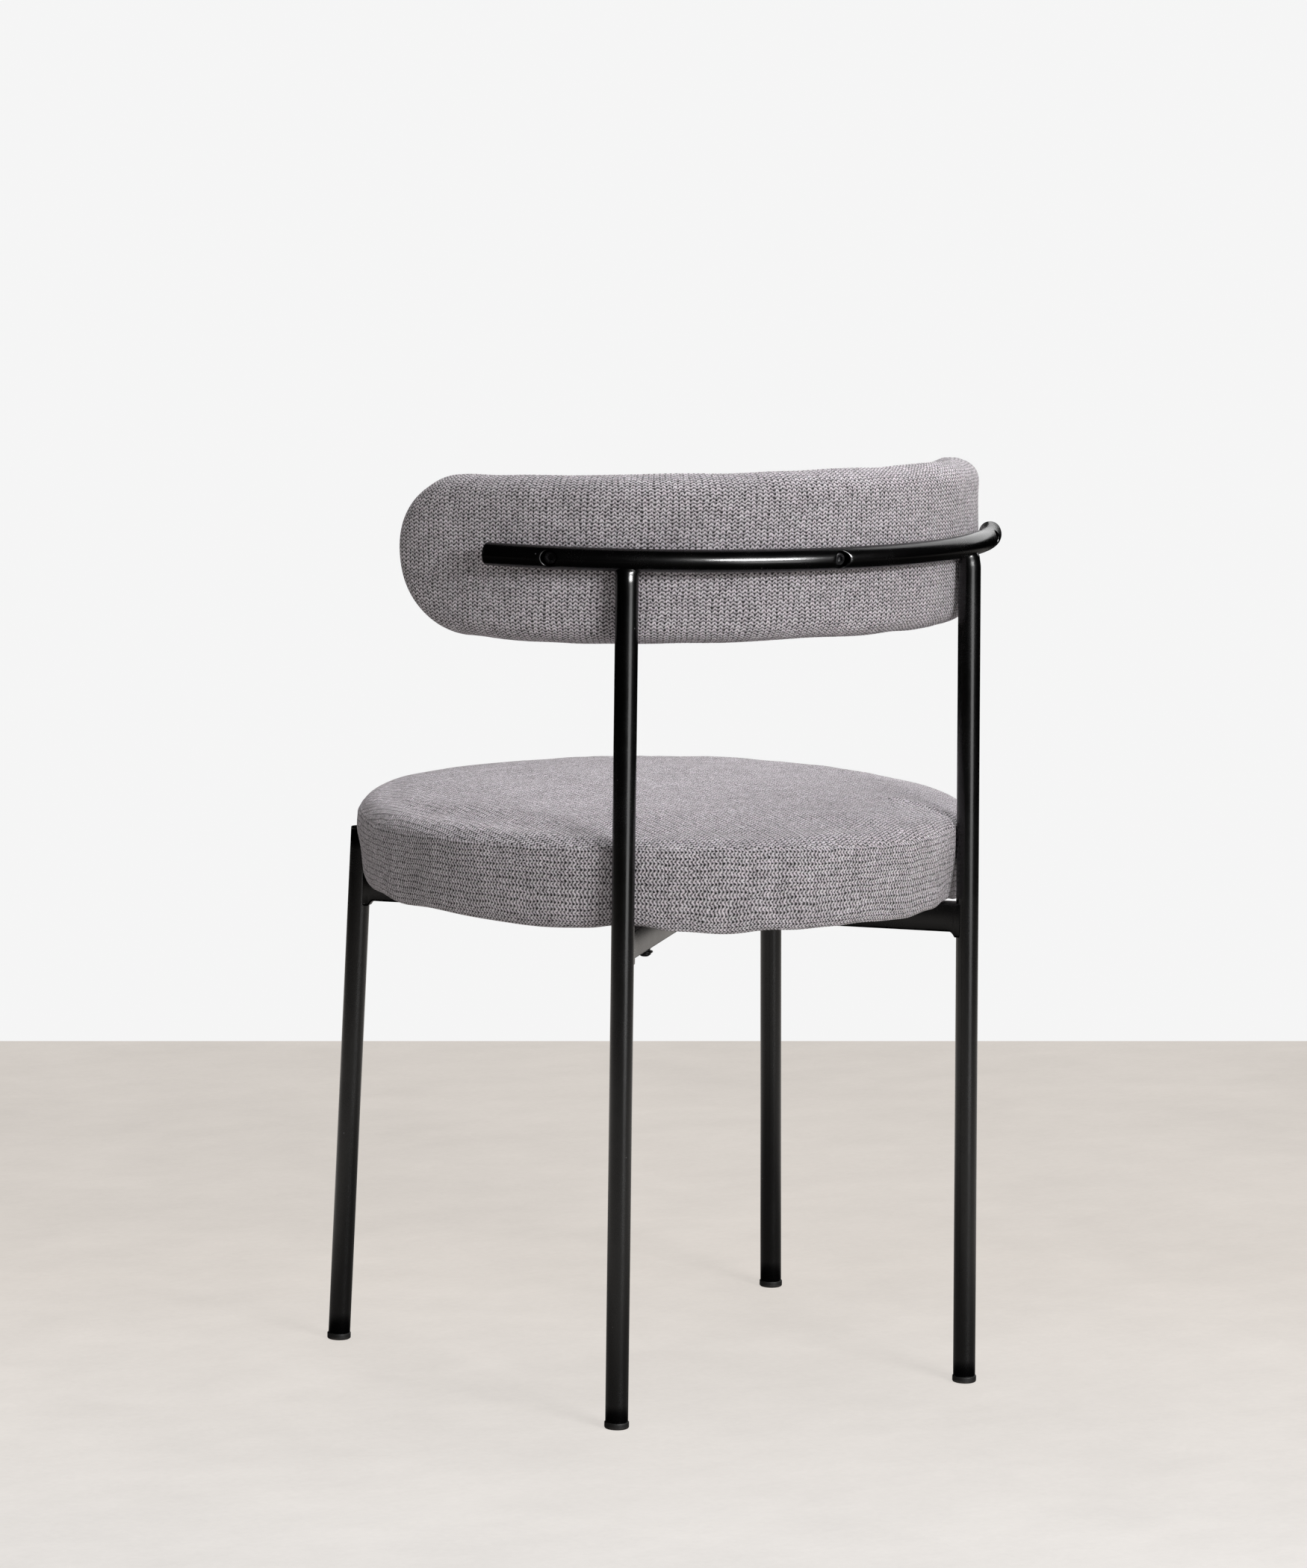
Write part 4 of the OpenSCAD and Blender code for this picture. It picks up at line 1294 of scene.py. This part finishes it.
    me = cloth_mesh("back_pad", base, faces, region, {"cloth_x": cu, "cloth_y": cv})
    bm = bmesh.new()
    bm.from_mesh(me)
    bmesh.ops.recalc_face_normals(bm, faces=bm.faces)
    bm.to_mesh(me)
    bm.free()
    me.update()
    out = read_values(me.vertex_normals, "vector", np.float32, 3).astype(float)
    seam_hold = hump(cs - seam_len, 3.5 * MM)
    shrink = 2.6 * MM * (1 - 0.7 * seam_hold)
    set_coords(me, base - out * shrink[:, None])
    ob = new_object("back_pad_cover", me)
    swell(ob, 0.85 * seam_hold, 6 * MM)
    co = coords(me)
    co = centred(co, base, out, cs > -1, 0.2 * MM, 1.8 * MM)
    wave = waves(base, 0.095, 21) * 0.75 + waves(base, 0.040, 22) * 0.30
    co += out * (wave * MM)[:, None]
    xs = (cs - seam_len) / MM
    along = np.array(cu) + np.array(cv)
    pucker = 1 + 0.3 * np.sin(along / (9.0 * MM) * 2 * math.pi + 2 * np.sin(along / 0.063))
    groove = -1.2 * hump(xs, 1.35) + 0.5 * hump(np.abs(xs), 3.0, 4.4) * pucker
    co += out * (groove * MM)[:, None]
    set_coords(me, clear_of_rail(co))
    me = subdivide(ob)
    set_coords(me, clear_of_rail(coords(me)))
    knit_pad(me)
    finish_cushion(ob, ["back_cover_front", "back_cover_rear", "back_foam_front", "back_foam_rear"])


def clear_of_rail(co):
    """Presses the rear face in where the rail lies on it."""
    clear = TUBE_R + 0.25 * MM
    phi = np.arctan2(co[:, 0], co[:, 1] - RAIL_CY)
    rho = np.hypot(co[:, 0], co[:, 1] - RAIL_CY)
    inside = (np.abs(phi) < RAIL_HALF + 0.02) & (rho > PAD_OUT - 0.02)
    h = co[:, 2] - RAIL_Z
    need = np.where(np.abs(h) < clear, np.sqrt(np.maximum(clear**2 - h**2, 0)), 0.0)
    limit = RAIL_R - need
    push = np.where(inside & (rho > limit), rho - limit, 0.0)
    co = co.copy()
    co[:, 0] -= np.sin(phi) * push
    co[:, 1] -= np.cos(phi) * push
    return co


def knit_pad(me):
    """Courses run along the pad and stay level into its round ends, on both covers."""
    face, _ = corner_faces(me)
    x, y = corner_values(me, "cloth_x"), corner_values(me, "cloth_y")
    write_knit(me, x / STITCH, y / COURSE + 0.35, corner_regions(me, face).astype(float))


back_pad()


# ---------- studio ----------
# the wall's direction and distance from the chair
WALL_WAY, WALL_AT = (-0.438013, -0.898969), 1.4717
WALL_WHITE = rgb(0.915, 0.915, 0.915)
# how much the floor shines by itself, and what it gives the chair from below
FLOOR_GLOW, FLOOR_BOUNCE = 0.975, 0.40
# strength of the room's light from below and from above
ROOM = (0.05, 0.33)


def studio_floor(name):
    """Pale cast floor, mostly glowing by itself so only the feet leave a shadow.

    Gloss mirrors a smaller, dimmer one.
    """
    s = Shader(name)
    at = s.where()
    big = s.noise(at, 2.2, 5.0, 0.60)
    middle = s.noise(s.vmath("MULTIPLY", at, (1.0, 1.5, 1.0)), 9.0, 6.0, 0.66)
    fine = s.noise(at, 150.0, 4.0, 0.7)
    tone = s.math("ADD", s.remap(big, 0.3, 0.7, 0.965, 1.035), s.remap(middle, 0.3, 0.7, -0.030, 0.030))
    tone = s.math("ADD", tone, s.remap(fine, 0.3, 0.7, -0.018, 0.018))
    # painted fall-off of light: the floor's glow and colour turn darker and warmer towards the wall
    x, y, _ = s.split(at)
    along = s.math("ADD", s.math("MULTIPLY", x, WALL_WAY[0]), s.math("MULTIPLY", y, WALL_WAY[1]))
    tone = s.math("MULTIPLY", tone, s.remap(along, -0.7, WALL_AT, 1.0, 0.89))
    warm = s.blend(s.remap(along, -0.7, 0.3), rgb(0.655, 0.632, 0.608), rgb(0.640, 0.598, 0.556))
    paint = s.scaled(warm, tone)
    s.set(
        Base_Color=s.blend(1.0, paint, rgb(0.46, 0.46, 0.46), "MULTIPLY"),
        Roughness=0.7,
        Specular_IOR_Level=0.2,
        Emission_Color=paint,
        Emission_Strength=FLOOR_GLOW,
        Normal=s.bump(s.math("ADD", fine, middle), 0.0006, 0.25),
    )
    # what gloss sees of the floor is a painted reflection: dimmed close round the chair as a painted shadow
    # of the seat, and gone past 2.7 m
    reach = s.vmath("LENGTH", s.vmath("MULTIPLY", at, (1.0, 1.0, 0.0)), out=1)
    near = s.remap(reach, 0.45, 1.0, 0.35, 1.0, smooth=True)
    far = s.remap(reach, 2.2, 2.7, 0.80, 0.0, smooth=True)
    facing = s.add("LayerWeight", "Facing", {"Blend": 0.5})
    level = s.math("MULTIPLY", near, far)
    level = s.math("MULTIPLY", level, s.remap(facing, 0.60, 0.84, 0.02, 1.0, smooth=True))
    bounce = s.math("MULTIPLY", s.ray("Diffuse"), FLOOR_BOUNCE)
    strength = s.math("ADD", bounce, s.math("MULTIPLY", level, s.ray("Glossy")))
    mirror = s.add("Emission", 0, {"Color": rgb(1.0, 0.95, 0.90), "Strength": strength})
    s.put(s.end, s.either(s.ray("Camera"), mirror, s.bsdf.outputs[0]))
    return s.mat


def studio_wall_paint(name):
    """White seamless wall, lit evenly. Its back lets other views through."""
    mat = bpy.data.materials.new(name)
    mat.use_nodes = True
    g = Graph(mat.node_tree, "ShaderNodeOutputMaterial")
    glow = g.add("Emission", 0, {"Color": WALL_WHITE})
    clear = g.add("BsdfTransparent", 0, {})
    g.put(g.end, g.either(g.add("NewGeometry", "Backfacing", {}), glow, clear))
    return mat


def flat_plane(name, corners, material):
    me = bpy.data.meshes.new(name)
    me.from_pydata(corners, [], [(0, 1, 2, 3)])
    me.materials.append(material)
    ob = new_object(name, me)
    return ob


def studio():
    span, w, top = 22.0, 6.0, 5.0
    corners = [(-span, -span, 0), (span, -span, 0), (span, span, 0), (-span, span, 0)]
    floor = flat_plane("studio_floor", corners, studio_floor("pale_floor"))
    away = Vector((*WALL_WAY, 0))
    across = Vector((-away.y, away.x, 0))
    c = away * WALL_AT
    a, b = c - across * w, c + across * w
    corners = [(a.x, a.y, 0), (b.x, b.y, 0), (b.x, b.y, top), (a.x, a.y, top)]
    normal = (Vector(corners[1]) - Vector(corners[0])).cross(Vector(corners[2]) - Vector(corners[1]))
    if normal.dot(away) > 0:
        corners = corners[::-1]
    wall = flat_plane("studio_wall", corners, studio_wall_paint("white_wall"))
    wall.visible_diffuse = wall.visible_glossy = wall.visible_shadow = False
    return floor


def soft_light(name, at, aim, size, watts, colour=(1, 1, 1)):
    data = bpy.data.lights.new(name, "AREA")
    data.shape = "RECTANGLE"
    data.size, data.size_y = size
    data.energy = watts
    data.color = colour
    data.spread = math.pi
    ob = new_object(name, data)
    ob.location = at
    ob.rotation_euler = (Vector(aim) - Vector(at)).to_track_quat("-Z", "Y").to_euler()
    return ob


def lights(floor):
    """A broad low key behind the chair, soft lights from above and the side, and a dim room.

    Only the key lights the floor.
    """
    key = Vector((-0.11, 0.994, 0)) * 3.0
    main = soft_light("key_softbox", (key.x, key.y, 1.75), (0, 0, 0.72), (1.1, 0.6), 48, (1.0, 0.985, 0.99))
    main.visible_glossy = False
    strip = soft_light("key_strip", (key.x + 0.17, key.y, 1.52), (0, 0, 0.72), (1.4, 0.5), 180)
    strip.visible_diffuse = False
    foot = soft_light("key_foot", (key.x, key.y, 0.32), (0, 0, 0.45), (1.3, 0.7), 11)
    foot.visible_diffuse = False
    above = (-0.8, -0.5, 2.4)
    over = soft_light("overhead_softbox", above, (0, 0, 0.45), (2.0, 2.0), 30, (1.0, 0.99, 0.985))
    over.visible_glossy = False
    side = Vector((-0.87, -0.50, 0)) * 2.6
    fill = soft_light("side_softbox", (side.x, side.y, 2.3), (0, 0, 0.6), (2.8, 2.6), 40)
    spared = bpy.data.collections.new("all_but_the_floor")
    for light in (strip, foot, over, fill):
        light.light_linking.receiver_collection = spared
    spared.objects.link(floor)
    for item in spared.collection_objects:
        item.light_linking.link_state = "EXCLUDE"
    world = bpy.data.worlds.new("studio")
    bpy.context.scene.world = world
    world.use_nodes = True
    g = Graph(world.node_tree, "ShaderNodeOutputWorld")
    seen = g.add("Background", 0, {"Color": WALL_WHITE})
    strength = g.remap(g.split(g.add("TexCoord", "Generated", {}))[2], -0.1, 0.3, *ROOM)
    room = g.add("Background", 0, {"Color": rgb(1.0, 0.985, 0.975), "Strength": strength})
    dark = g.add("Background", 0, {"Color": rgb(0.004, 0.004, 0.004)})
    soft = g.either(g.ray("Diffuse"), dark, room)
    g.put(g.end, g.either(g.ray("Camera"), soft, seen))


def camera():
    data = bpy.data.cameras.new("camera")
    data.lens, data.sensor_width = 135.2, 36
    data.clip_start, data.clip_end = 0.1, 100
    ob = new_object("camera", data)
    right, up = Vector((-0.850812, 0.525144, 0.018506)), Vector((-0.057427, -0.127934, 0.990119))
    back = -Vector((-0.522322, -0.841342, -0.139005))
    m = Matrix((right, up, back)).transposed().to_4x4()
    m.translation = Vector((2.6604, 4.2625, 1.2041))
    ob.matrix_world = m
    bpy.context.scene.camera = ob


lights(studio())
camera()
bpy.context.scene.view_settings.view_transform = "Standard"
